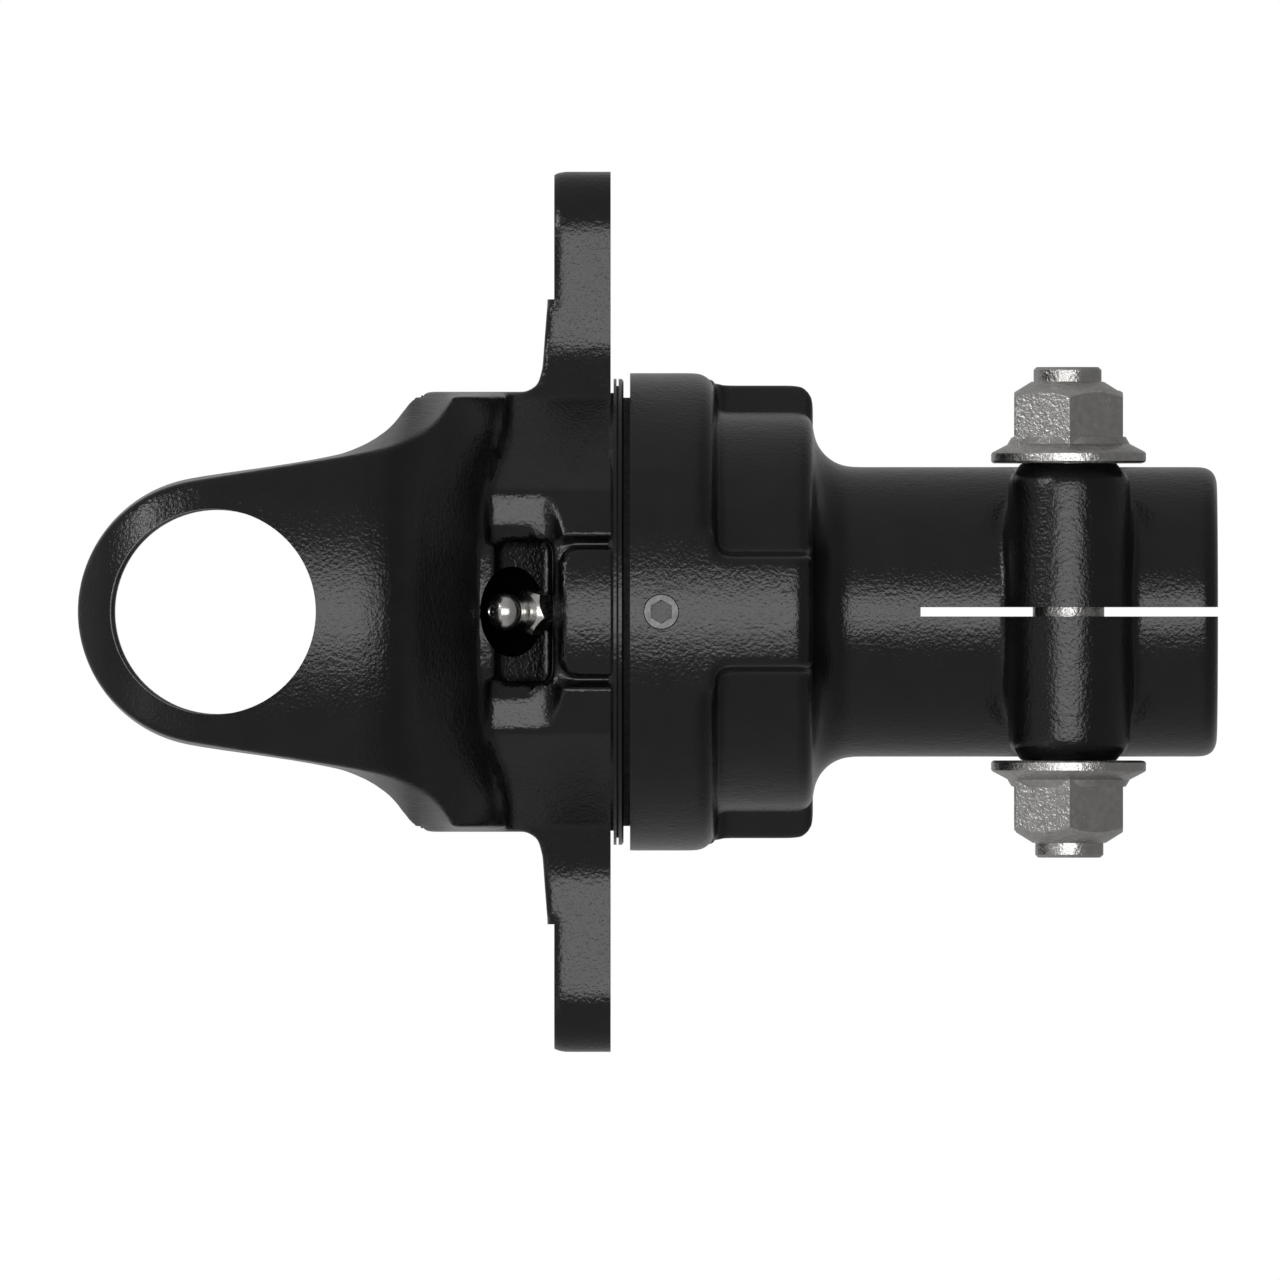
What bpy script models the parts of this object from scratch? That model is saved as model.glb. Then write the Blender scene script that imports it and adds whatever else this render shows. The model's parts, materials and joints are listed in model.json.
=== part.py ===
"""A freewheel for a power take-off shaft: a universal-joint yoke that drives a clamp hub one way only.

The shaft axis is X. The origin is the centre of the clamp bore's mouth, on the hub's end face, and the
yoke lies along -X. Z is up. The grease fitting, the ball plug and the first pawl face -Y.
"""

import math

import bmesh
import bpy
from mathutils import Matrix, Vector

MM = 0.001
TURN_STEPS = 36
SMALL_STEPS = 20
REACH = 60 * MM

# Stations along the shaft
EAR_HOLE_X = -170.7 * MM
CROTCH_X = -135.2 * MM
FLATS_LEFT_X = -124.4 * MM
LUG_LEFT_X = -114.05 * MM
SPOTFACE_X = -112.9 * MM
LUG_RIGHT_X = -103.3 * MM
COLLAR_RIGHT_X = -101.0 * MM
HUB_MOUTH_X = -100.0 * MM
SEAL_STEP_X = -97.9 * MM
BALL_X = -94.7 * MM
ROTOR_STEP_X = -89.0 * MM
RING_RIGHT_X = -85.5 * MM
ROTOR_END_X = -73.0 * MM
CUP_FLOOR_X = -71.6 * MM
LOBE_END_X = -68.8 * MM
PILOT_FLOOR_X = -67.8 * MM
DISC_SEAT_X = -65.9 * MM
SLIT_END_X = -50.6 * MM
BOLT_X = -25.3 * MM

# Yoke casting
EAR_HOLE_RADIUS = 17.46 * MM
EAR_TIP_RADIUS = 23.0 * MM
EAR_INNER_Y = 38.0 * MM
EAR_OUTER_RADIUS = 58.0 * MM
SNAP_GROOVE_RADIUS = 18.4 * MM
SNAP_GROOVE_Y = (48.9 * MM, 50.6 * MM)
THROAT_CORNER = 19.0 * MM
BASE_HALF_HEIGHT = 37.45 * MM
BASE_TOP_HALF_WIDTH = 12.6 * MM
BASE_HALF_WIDTH = 33.8 * MM
BASE_FRONT_HALF_HEIGHT = 20.4 * MM
COLLAR_RADIUS = 39.7 * MM
LUG_HOLE_Z = 64.1 * MM
LUG_TIP_RADIUS = 10.9 * MM
LUG_CORNER = 2.4 * MM
LUG_HOLE_RADIUS = 5.25 * MM
LUG_ROOT_HALF_WIDTH = 17.0 * MM
LUG_FLARE_Z = 49.4 * MM
SPOTFACE_Z = 53.2 * MM
KEY_LEFT_X = -111.4 * MM
KEY_HALF_HEIGHT = 13.4 * MM
KEY_EDGE_Y = 35.5 * MM
KEY_CROWN_Y = 39.0 * MM
POCKET_X = (-124.7 * MM, -112.8 * MM)
POCKET_FLOOR_Y = -29.0 * MM
POCKET_HALF_HEIGHT = 13.1 * MM

# Yoke spigot and the parts round it
SHOULDER_RADIUS = 36.5 * MM
BALL_LAND_RADIUS = 30.9 * MM
BALL_PITCH_RADIUS = 31.0 * MM
BALL_RADIUS = 2.381 * MM
BALL_GROOVE_RADIUS = 2.55 * MM
BALL_COUNT = 30
ROTOR_RADIUS = 29.2 * MM
JOURNAL_RADIUS = 18.65 * MM
JOURNAL_END_X = -68.2 * MM
NOTCH_COUNT = 12
NOTCH_FLOOR = 26.75 * MM
GREASE_BORE_RADIUS = 1.5 * MM
AXIAL_BORE_RADIUS = 2.5 * MM
FEED_BORE_X = ROTOR_STEP_X - 1.6 * MM
SEAL_X = (-98.2 * MM, -99.1 * MM)
SEAL_RADII = (31.25 * MM, 36.55 * MM)
WASHER_X = (-71.9 * MM, -72.7 * MM)
WASHER_RADII = (21.4 * MM, 28.8 * MM)
BUSH_X = (-68.2 * MM, -71.4 * MM)
BUSH_RADII = (19.0 * MM, 20.85 * MM)
DISC_X = (-66.2 * MM, -67.5 * MM)
DISC_RADIUS = 17.8 * MM

# Hub casting
HUB_RADIUS = 40.7 * MM
RECESS_RADIUS = 34.1 * MM
LOBE_HALF_WIDTH = 9.4 * MM
NECK_RADIUS = 24.7 * MM
NECK_FILLET = 6.9 * MM
MOUTH_RADIUS = 36.9 * MM
BALL_BORE_RADIUS = 31.2 * MM
PAWL_BORE_RADIUS = 29.5 * MM
PILOT_RADIUS = 21.1 * MM
DISC_BORE_RADIUS = 18.1 * MM
SPLINE_MAJOR_RADIUS = 17.49 * MM
SPLINE_MINOR_RADIUS = 14.9 * MM
SPLINE_WIDTH = 8.71 * MM
SPLINE_COUNT = 6
SLIT_WIDTH = 1.6 * MM
BOSS_Y = 21.0 * MM
BOSS_MIDDLE_RADIUS = 11.4 * MM
BOSS_END_RADIUS = 10.2 * MM
BOSS_HALF_HEIGHT = 25.1 * MM
BOLT_HOLE_RADIUS = 6.3 * MM
PLUG_HOLE_RADIUS = 3.2 * MM

# Pawls
PAWL_COUNT = 3
POCKET_WIDTH = 12.2 * MM
POCKET_ROOF = 38.0 * MM
PAWL_POCKET_X = (-87.5 * MM, -73.5 * MM)
PAWL_WIDTH = 11.6 * MM
PAWL_LENGTH = 13.2 * MM
PAWL_TIP = 29.55 * MM
PAWL_SHOULDER = 32.2 * MM
PAWL_TOP = 35.6 * MM
SPRING_SPACING = 6.2 * MM
SPRING_HOLE_RADIUS = 2.7 * MM
SPRING_HOLE_DEPTH = 3.7 * MM
SPRING_RADIUS = 1.95 * MM
SPRING_WIRE_RADIUS = 0.35 * MM

# Clamp bolts and nuts, M12
BOLT_RADIUS = 6.0 * MM
BOLT_TIP_Z = 41.8 * MM
FLANGE_RADIUS = 13.1 * MM
FLANGE_SEAT_Z = 25.35 * MM
FLANGE_RIM = 1.9 * MM
FLANGE_CONE_RADIUS = 9.6 * MM
HEX_START_Z = 28.8 * MM
HEX_ACROSS_FLATS = 18.2 * MM
HEAD_TOP_Z = 37.6 * MM
NUT_TOP_Z = 38.8 * MM

# Grease fitting: distances along its own axis, outward from the centre of its ball head
FITTING_HEAD = Vector((-121.3, -34.2, 0.0)) * MM
FITTING_TILT = math.radians(45)
HEX_BASE = -8.0 * MM
HEX_TOP = -4.6 * MM
THREAD_END = -13.6 * MM
FITTING_HEX_ACROSS_FLATS = 7.0 * MM
SPANNER_SPACE_RADIUS = 7.7 * MM

PAINT = ("black_paint", (0.012, 0.012, 0.013), 0.0, 0.25)
STEEL = ("machined_steel", (0.42, 0.42, 0.43), 1.0, 0.32)
ZINC = ("zinc_plate", (0.52, 0.53, 0.54), 1.0, 0.4)
CHROME = ("nickel_plate", (0.75, 0.74, 0.72), 1.0, 0.15)
SPRING_STEEL = ("spring_steel", (0.3, 0.3, 0.31), 1.0, 0.3)
BRONZE = ("bronze", (0.55, 0.36, 0.16), 1.0, 0.35)
RUBBER = ("rubber", (0.02, 0.02, 0.02), 0.0, 0.7)


def clear_scene():
    for obj in list(bpy.data.objects):
        bpy.data.objects.remove(obj, do_unlink=True)


def new_collection(name):
    collection = bpy.data.collections.new(name)
    bpy.context.scene.collection.children.link(collection)
    return collection


def material(look):
    name, colour, metallic, roughness = look
    made = bpy.data.materials.get(name)
    if made is None:
        made = bpy.data.materials.new(name)
        made.use_nodes = True
        shader = made.node_tree.nodes["Principled BSDF"]
        shader.inputs["Base Color"].default_value = (*colour, 1.0)
        shader.inputs["Metallic"].default_value = metallic
        shader.inputs["Roughness"].default_value = roughness
    return made


def add_object(name, data, look=None):
    """An object for a part when it has a look, or else a helper that only cuts or joins."""
    obj = bpy.data.objects.new(name, data)
    if look is None:
        helpers.objects.link(obj)
        obj.hide_render = True
        obj.display_type = "WIRE"
    else:
        parts.objects.link(obj)
        obj.data.materials.append(material(look))
    return obj


def modify(obj, kind, other):
    modifier = obj.modifiers.new(kind.title(), "BOOLEAN")
    modifier.operation = kind
    modifier.object = other
    modifier.solver = "EXACT"


def cut(obj, *cutters):
    for cutter in cutters:
        modify(obj, "DIFFERENCE", cutter)


def join(obj, *others):
    for other in others:
        modify(obj, "UNION", other)


def arc(centre, radius, start, end, steps):
    """Points on a circle from one angle to another, in degrees."""
    angles = [math.radians(start + (end - start) * i / steps) for i in range(steps + 1)]
    return [(centre[0] + radius * math.cos(a), centre[1] + radius * math.sin(a)) for a in angles]


def mirrored(points):
    """The points, then their mirror images across the first coordinate's axis, back to the start."""
    return points + [(a, -b) for a, b in reversed(points) if abs(b) > 1e-9]


ALONG_X = Matrix.Rotation(math.radians(90), 4, "Y")
ALONG_Y = Matrix.Rotation(math.radians(-90), 4, "X")
XZ_TO_Y = Matrix.Rotation(math.radians(90), 4, "X")
YZ_TO_X = Matrix(((0, 0, 1, 0), (1, 0, 0, 0), (0, 1, 0, 0), (0, 0, 0, 1)))


def turned(name, profile, look=None, closed=False, axis=ALONG_X, steps=TURN_STEPS):
    """A turned solid. The profile's points are (place along the axis, radius), high end first on the outside."""
    bm = bmesh.new()
    points = [bm.verts.new((radius, 0, along)) for along, radius in profile]
    for start, end in zip(points, points[1:]):
        bm.edges.new((start, end))
    if closed:
        bm.edges.new((points[-1], points[0]))
    mesh = bpy.data.meshes.new(name)
    bm.to_mesh(mesh)
    bm.free()
    obj = add_object(name, mesh, look)
    obj.matrix_world = axis
    screw = obj.modifiers.new("Screw", "SCREW")
    screw.steps = steps
    screw.render_steps = steps
    screw.use_merge_vertices = True
    screw.merge_threshold = 0.00001
    screw.use_smooth_shade = False
    return obj


def outline_mesh(name, points, low, high, turn):
    """The mesh of a flat outline extruded from low to high, then turned into place."""
    curve = bpy.data.curves.new(name, "CURVE")
    curve.dimensions = "2D"
    curve.fill_mode = "BOTH"
    curve.extrude = (high - low) / 2
    spline = curve.splines.new("POLY")
    spline.points.add(len(points) - 1)
    for point, (a, b) in zip(spline.points, points):
        point.co = (a, b, 0, 1)
    spline.use_cyclic_u = True
    guide = bpy.data.objects.new(name, curve)
    helpers.objects.link(guide)
    graph = bpy.context.evaluated_depsgraph_get()
    mesh = bpy.data.meshes.new_from_object(guide.evaluated_get(graph))
    bpy.data.objects.remove(guide)
    bpy.data.curves.remove(curve)
    bm = bmesh.new()
    bm.from_mesh(mesh)
    bmesh.ops.remove_doubles(bm, verts=bm.verts, dist=0.000001)
    bmesh.ops.translate(bm, verts=bm.verts, vec=(0, 0, (low + high) / 2))
    bmesh.ops.transform(bm, verts=bm.verts, matrix=turn)
    bmesh.ops.recalc_face_normals(bm, faces=bm.faces)
    bm.to_mesh(mesh)
    bm.free()
    return mesh


def extruded(name, points, low, high, turn=YZ_TO_X, look=None):
    return add_object(name, outline_mesh(name, points, low, high, turn), look)


def box(name, low, high, look=None):
    bm = bmesh.new()
    bmesh.ops.create_cube(bm, size=1)
    size = Vector(high) - Vector(low)
    bmesh.ops.scale(bm, verts=bm.verts, vec=size)
    bmesh.ops.translate(bm, verts=bm.verts, vec=(Vector(high) + Vector(low)) / 2)
    mesh = bpy.data.meshes.new(name)
    bm.to_mesh(mesh)
    bm.free()
    return add_object(name, mesh, look)


def rod(name, start, end, radius, steps=SMALL_STEPS, look=None):
    """A cylinder between two points."""
    start, end = Vector(start), Vector(end)
    bm = bmesh.new()
    depth = (end - start).length
    bmesh.ops.create_cone(bm, cap_ends=True, segments=steps, radius1=radius, radius2=radius, depth=depth)
    turn = Vector((0, 0, 1)).rotation_difference(end - start).to_matrix().to_4x4()
    bmesh.ops.transform(bm, verts=bm.verts, matrix=Matrix.Translation((start + end) / 2) @ turn)
    mesh = bpy.data.meshes.new(name)
    bm.to_mesh(mesh)
    bm.free()
    return add_object(name, mesh, look)


def hexagon(across_flats, first_corner=90):
    radius = across_flats / 2 / math.cos(math.radians(30))
    return arc((0, 0), radius, first_corner, first_corner + 300, 5)


def round_the_shaft(name, mesh, count):
    """One helper mesh that holds the given mesh repeated evenly round the shaft."""
    bm = bmesh.new()
    for i in range(count):
        copy = mesh.copy()
        copy.transform(Matrix.Rotation(math.tau * i / count, 4, "X"))
        bm.from_mesh(copy)
        bpy.data.meshes.remove(copy)
    joined = bpy.data.meshes.new(name)
    bm.to_mesh(joined)
    bm.free()
    bpy.data.meshes.remove(mesh)
    return add_object(name, joined)


def lobe_outline(half_width, low, high):
    """A rectangle in the plane across the shaft, centred on the -Y direction."""
    return [(-high, -half_width), (-low, -half_width), (-low, half_width), (-high, half_width)]


# --- Yoke


def ear_outline():
    """One side of the ears in the XZ plane, from the tip to the base."""
    tip = arc((EAR_HOLE_X, 0), EAR_TIP_RADIUS, 180, 96, 7)
    flank = [(-149.4 * MM, 26.4 * MM), (-143.0 * MM, 29.3 * MM), (-138.6 * MM, 33.6 * MM)]
    root = [(-134.6 * MM, BASE_HALF_HEIGHT), (FLATS_LEFT_X + 4 * MM, BASE_HALF_HEIGHT)]
    return mirrored(tip + flank + root)


def ear_envelope():
    """The turned outside that the ears are trimmed to, from the base to the tip."""
    waist = [(-120.0 * MM, 0), (-120.0 * MM, 37.4 * MM), (-127.0 * MM, 37.6 * MM), (-130.5 * MM, 40.0 * MM)]
    shoulder = [(-134.0 * MM, 46.0 * MM), (-138.5 * MM, 52.5 * MM), (-143.0 * MM, 56.2 * MM)]
    back = [(-152.0 * MM, EAR_OUTER_RADIUS), (-170.0 * MM, EAR_OUTER_RADIUS), (-180.0 * MM, 56.0 * MM)]
    tip = [(-188.0 * MM, 52.0 * MM), (-193.2 * MM, 46.5 * MM), (-194.5 * MM, 44.0 * MM), (-194.5 * MM, 0)]
    return turned("ear_envelope", waist + shoulder + back + tip)


def throat():
    """The space between the ears, with rounded corners at its bottom."""
    corner = (CROTCH_X - THROAT_CORNER, EAR_INNER_Y - THROAT_CORNER)
    upper = [(-200 * MM, EAR_INNER_Y)] + arc(corner, THROAT_CORNER, 90, 0, 6)
    return extruded("throat", mirrored(upper), -REACH, REACH, Matrix.Identity(4))


def cross_hole():
    """The bearing cups' hole through both ears, with a snap ring groove inside each ear."""
    near, far = SNAP_GROOVE_Y
    side = [(70 * MM, 0), (70 * MM, EAR_HOLE_RADIUS), (far, EAR_HOLE_RADIUS), (far, SNAP_GROOVE_RADIUS)]
    side += [(near, SNAP_GROOVE_RADIUS), (near, EAR_HOLE_RADIUS)]
    profile = side + [(-along, radius) for along, radius in reversed(side)]
    place = Matrix.Translation((EAR_HOLE_X, 0, 0)) @ ALONG_Y
    return turned("cross_hole", profile, axis=place)


def base_block():
    """The eight-sided base that carries the lugs, within the collar's circle."""
    quarter = [(BASE_HALF_WIDTH, 0), (BASE_HALF_WIDTH, BASE_FRONT_HALF_HEIGHT)]
    quarter += [(BASE_TOP_HALF_WIDTH, BASE_HALF_HEIGHT)]
    half = quarter[1:] + [(-y, z) for y, z in reversed(quarter[1:])]
    return extruded("base_block", mirrored(half), FLATS_LEFT_X, LUG_RIGHT_X + 0.9 * MM)


def lug_side():
    """One side of the lugs in the XZ plane: a root fillet, the cast face, the milled step and the tip."""
    root = [(LUG_LEFT_X, 36.0 * MM), (-118.9 * MM, 37.3 * MM), (-116.6 * MM, 38.6 * MM), (-115.6 * MM, 41.0 * MM)]
    step = [(LUG_LEFT_X, SPOTFACE_Z), (SPOTFACE_X, SPOTFACE_Z)]
    tip_z = LUG_HOLE_Z + LUG_TIP_RADIUS
    corner = arc((SPOTFACE_X + LUG_CORNER, tip_z - LUG_CORNER), LUG_CORNER, 180, 90, 3)
    return mirrored(root + step + corner + [(LUG_RIGHT_X, tip_z)])


def lug_bar():
    """Both lugs as one bar across the base: round tips, straight sides and a flared root."""
    tip = arc((LUG_HOLE_Z, 0), LUG_TIP_RADIUS, 0, 90, 6)
    flare = [(LUG_FLARE_Z, LUG_TIP_RADIUS), (43.5 * MM, 12.6 * MM), (38.0 * MM, LUG_ROOT_HALF_WIDTH)]
    right = tip + flare
    half = right + [(-z, y) for z, y in reversed(right)]
    outline = [(y, z) for z, y in mirrored(half)]
    bar = extruded("lug_bar", outline, LUG_LEFT_X - REACH, LUG_RIGHT_X)
    modify(bar, "INTERSECT", extruded("lug_side", lug_side(), -REACH, REACH, XZ_TO_Y))
    return bar


def key_bar():
    """The raised blocks on the base's front and back, as one bar with crowned ends."""
    rise = KEY_CROWN_Y - KEY_EDGE_Y
    radius = (KEY_HALF_HEIGHT**2 + rise**2) / (2 * rise)
    spread = math.degrees(math.asin(KEY_HALF_HEIGHT / radius))
    crown = arc((KEY_CROWN_Y - radius, 0), radius, -spread, spread, 6)
    outline = crown + [(-y, -z) for y, z in crown]
    return extruded("key_bar", outline, KEY_LEFT_X, LUG_RIGHT_X + 0.6 * MM)


def spigot_profile():
    """The collar and spigot, from the free end to the root buried in the base."""
    drop = math.degrees(math.asin((BALL_PITCH_RADIUS - BALL_LAND_RADIUS) / BALL_GROOVE_RADIUS))
    groove = arc((BALL_X, BALL_PITCH_RADIUS), BALL_GROOVE_RADIUS, -drop, drop - 180, 6)
    return [
        (JOURNAL_END_X, 0),
        (JOURNAL_END_X, JOURNAL_RADIUS - 0.6 * MM),
        (JOURNAL_END_X - 0.6 * MM, JOURNAL_RADIUS),
        (ROTOR_END_X, JOURNAL_RADIUS),
        (ROTOR_END_X, ROTOR_RADIUS),
        (ROTOR_STEP_X - 0.4 * MM, ROTOR_RADIUS),
        (ROTOR_STEP_X - 0.4 * MM, BALL_LAND_RADIUS),
        *groove,
        (SEAL_STEP_X - 1.5 * MM, BALL_LAND_RADIUS),
        (SEAL_STEP_X - 1.5 * MM, SHOULDER_RADIUS),
        (COLLAR_RIGHT_X, SHOULDER_RADIUS),
        (COLLAR_RIGHT_X, COLLAR_RADIUS - 0.4 * MM),
        (COLLAR_RIGHT_X - 0.4 * MM, COLLAR_RADIUS),
        (LUG_RIGHT_X - 0.25 * MM, COLLAR_RADIUS),
        (LUG_RIGHT_X - 0.25 * MM, 30 * MM),
        (-110 * MM, 30 * MM),
        (-110 * MM, 0),
    ]


def notch_outline():
    """One ratchet notch, facing -Y: a steep driving side and a long ramp, in (y, z)."""
    top = ROTOR_RADIUS + 1.2 * MM
    slope = 4.0 / 2.65
    ramp_end = -1.6 * MM - (top - NOTCH_FLOOR) * slope
    return [(-NOTCH_FLOOR, 3.55 * MM), (-top, 3.55 * MM), (-top, ramp_end), (-NOTCH_FLOOR, -1.6 * MM)]


def notches():
    mesh = outline_mesh("notch", notch_outline(), ROTOR_STEP_X + 0.9 * MM, ROTOR_END_X + 2 * MM, YZ_TO_X)
    return round_the_shaft("notches", mesh, NOTCH_COUNT)


def fitting_axis():
    """Carries the local Z axis onto the fitting's axis, outward, with its ball head's centre at the origin."""
    outward = Vector((-math.sin(FITTING_TILT), -math.cos(FITTING_TILT), 0))
    turn = Vector((0, 0, 1)).rotation_difference(outward).to_matrix().to_4x4()
    return Matrix.Translation(FITTING_HEAD) @ turn


def fitting_hole():
    """Room for a spanner, the tapped hole and the passage to the middle of the spigot."""
    profile = [
        (14 * MM, 0),
        (14 * MM, SPANNER_SPACE_RADIUS),
        (HEX_BASE - 0.3 * MM, SPANNER_SPACE_RADIUS),
        (HEX_BASE - 0.3 * MM, 3.25 * MM),
        (THREAD_END - 0.6 * MM, 3.25 * MM),
        (THREAD_END - 2.2 * MM, GREASE_BORE_RADIUS),
        (-49 * MM, GREASE_BORE_RADIUS),
        (-49 * MM, 0),
    ]
    return turned("fitting_hole", profile, axis=fitting_axis(), steps=SMALL_STEPS)


def make_yoke():
    yoke = turned("yoke_body", spigot_profile(), PAINT)
    ears = extruded("ears", ear_outline(), -REACH, REACH, XZ_TO_Y)
    modify(ears, "INTERSECT", ear_envelope())
    cut(ears, throat())
    join(yoke, base_block(), ears, lug_bar(), key_bar())
    cut(yoke, cross_hole(), notches(), fitting_hole())
    pocket_low = (POCKET_X[0], -REACH, -POCKET_HALF_HEIGHT)
    pocket_high = (POCKET_X[1], POCKET_FLOOR_Y, POCKET_HALF_HEIGHT)
    cut(yoke, box("pocket", pocket_low, pocket_high))
    for z in (LUG_HOLE_Z, -LUG_HOLE_Z):
        cut(yoke, rod("lug_hole", (LUG_LEFT_X - MM, 0, z), (LUG_RIGHT_X + MM, 0, z), LUG_HOLE_RADIUS))
    cut(yoke, rod("axial_bore", (FEED_BORE_X - MM, 0, 0), (JOURNAL_END_X + MM, 0, 0), AXIAL_BORE_RADIUS))
    cut(yoke, rod("feed_bore", (FEED_BORE_X, 0, -REACH), (FEED_BORE_X, 0, REACH), GREASE_BORE_RADIUS, 12))


# --- Hub


def hub_outside():
    """The hub's turned outside, from its end face to the ball ring's mouth."""
    end = arc((-2.7 * MM, NECK_RADIUS - 2.7 * MM), 2.7 * MM, 0, 90, 3)
    neck = arc((LOBE_END_X + NECK_FILLET, NECK_RADIUS + NECK_FILLET), NECK_FILLET, -90, -180, 4)
    lobes = arc((LOBE_END_X - 2.9 * MM, HUB_RADIUS - 2.9 * MM), 2.9 * MM, 0, 90, 3)
    mouth = [(HUB_MOUTH_X + 0.5 * MM, HUB_RADIUS), (HUB_MOUTH_X, HUB_RADIUS - 0.5 * MM), (HUB_MOUTH_X, 0)]
    return [(0, 0)] + end + neck + lobes + mouth


def cup():
    """The stepped bore that takes the spigot, from its deepest step to the mouth."""
    profile = [
        (DISC_SEAT_X, 0),
        (DISC_SEAT_X, DISC_BORE_RADIUS),
        (PILOT_FLOOR_X, DISC_BORE_RADIUS),
        (PILOT_FLOOR_X, PILOT_RADIUS),
        (CUP_FLOOR_X, PILOT_RADIUS),
        (CUP_FLOOR_X, PAWL_BORE_RADIUS),
        (ROTOR_STEP_X, PAWL_BORE_RADIUS),
        (ROTOR_STEP_X, BALL_BORE_RADIUS),
        *hub_groove(),
        (SEAL_STEP_X, BALL_BORE_RADIUS),
        (SEAL_STEP_X, MOUTH_RADIUS),
        (HUB_MOUTH_X + 0.5 * MM, MOUTH_RADIUS),
        (HUB_MOUTH_X - 0.5 * MM, MOUTH_RADIUS + 1.0 * MM),
        (HUB_MOUTH_X - 0.5 * MM, 0),
    ]
    return turned("cup", profile)


def hub_groove():
    """The outer half of the balls' groove, right to left."""
    lift = math.degrees(math.asin((BALL_BORE_RADIUS - BALL_PITCH_RADIUS) / BALL_GROOVE_RADIUS))
    return arc((BALL_X, BALL_PITCH_RADIUS), BALL_GROOVE_RADIUS, lift, 180 - lift, 6)


def spline_bore():
    """The bore for a six-spline shaft."""
    outer = math.degrees(math.asin(SPLINE_WIDTH / 2 / SPLINE_MAJOR_RADIUS))
    inner = math.degrees(math.asin(SPLINE_WIDTH / 2 / SPLINE_MINOR_RADIUS))
    pitch = 360 / SPLINE_COUNT
    outline = []
    for i in range(SPLINE_COUNT):
        middle = i * pitch
        outline += arc((0, 0), SPLINE_MAJOR_RADIUS, middle - outer, middle + outer, 3)
        outline += arc((0, 0), SPLINE_MINOR_RADIUS, middle + inner, middle + pitch - inner, 3)
    return extruded("spline_bore", outline, DISC_SEAT_X - 3 * MM, 3 * MM)


def lobe_gaps():
    """What is cut away between the pawl lobes: a ring with the lobes taken out of it."""
    profile = [
        (-60 * MM, 50 * MM),
        (RING_RIGHT_X - 4.0 * MM, 50 * MM),
        (RING_RIGHT_X - 4.0 * MM, HUB_RADIUS + 1.5 * MM),
        (RING_RIGHT_X, HUB_RADIUS - 2.5 * MM),
        (RING_RIGHT_X, RECESS_RADIUS),
        (LOBE_END_X - 2.6 * MM, RECESS_RADIUS),
        (LOBE_END_X, RECESS_RADIUS - 2.6 * MM),
        (-60 * MM, RECESS_RADIUS - 2.6 * MM),
    ]
    ring = turned("lobe_gaps", profile, closed=True)
    outline = lobe_outline(LOBE_HALF_WIDTH, 20 * MM, 60 * MM)
    mesh = outline_mesh("lobe", outline, -100 * MM, -50 * MM, YZ_TO_X)
    cut(ring, round_the_shaft("lobes", mesh, PAWL_COUNT))
    return ring


def pawl_pockets():
    outline = lobe_outline(POCKET_WIDTH / 2, PAWL_BORE_RADIUS - 6 * MM, POCKET_ROOF)
    mesh = outline_mesh("pawl_pocket", outline, *PAWL_POCKET_X, YZ_TO_X)
    return round_the_shaft("pawl_pockets", mesh, PAWL_COUNT)


def clamp_boss(side):
    """A bolt boss, drafted from the split plane to its two seats."""
    half = [(BOSS_HALF_HEIGHT, 0), (BOSS_HALF_HEIGHT, BOSS_END_RADIUS - 0.9 * MM)]
    half += [(BOSS_HALF_HEIGHT - 0.9 * MM, BOSS_END_RADIUS), (0, BOSS_MIDDLE_RADIUS)]
    profile = half + [(-z, radius) for z, radius in reversed(half[:-1])]
    place = Matrix.Translation((BOLT_X, side * BOSS_Y, 0))
    return turned("clamp_boss", profile, axis=place, steps=24)


def make_hub():
    hub = turned("hub_body", hub_outside(), PAINT)
    join(hub, clamp_boss(-1), clamp_boss(1))
    chamfer = [(1 * MM, 0), (1 * MM, 18.7 * MM), (-3.2 * MM, 14.5 * MM), (-3.2 * MM, 0)]
    cut(hub, lobe_gaps(), cup(), spline_bore(), turned("bore_chamfer", chamfer), pawl_pockets())
    slit_low = (SLIT_END_X, -REACH, -SLIT_WIDTH / 2)
    slit_high = (MM, REACH, SLIT_WIDTH / 2)
    cut(hub, box("slit", slit_low, slit_high))
    for side in (-1, 1):
        y = side * BOSS_Y
        cut(hub, rod("bolt_hole", (BOLT_X, y, -REACH), (BOLT_X, y, REACH), BOLT_HOLE_RADIUS))
    plug_start = (BALL_X, -BALL_PITCH_RADIUS, 0)
    cut(hub, rod("plug_hole", plug_start, (BALL_X, -REACH, 0), PLUG_HOLE_RADIUS, 16))


# --- Clamp bolts and nuts


def hex_prism(name, low, high, across_flats, look=None):
    return extruded(name, hexagon(across_flats, 90), low, high, Matrix.Identity(4), look)


def flange_profile():
    """The flange from its cone down to its seat, as (z, radius) from the top."""
    rim = FLANGE_SEAT_Z + FLANGE_RIM
    return [
        (HEX_START_Z + 0.4 * MM, 0),
        (HEX_START_Z + 0.4 * MM, FLANGE_CONE_RADIUS - 0.5 * MM),
        (HEX_START_Z, FLANGE_CONE_RADIUS),
        (rim, FLANGE_RADIUS - 0.3 * MM),
        (rim - 0.3 * MM, FLANGE_RADIUS),
        (FLANGE_SEAT_Z, FLANGE_RADIUS),
    ]


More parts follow.
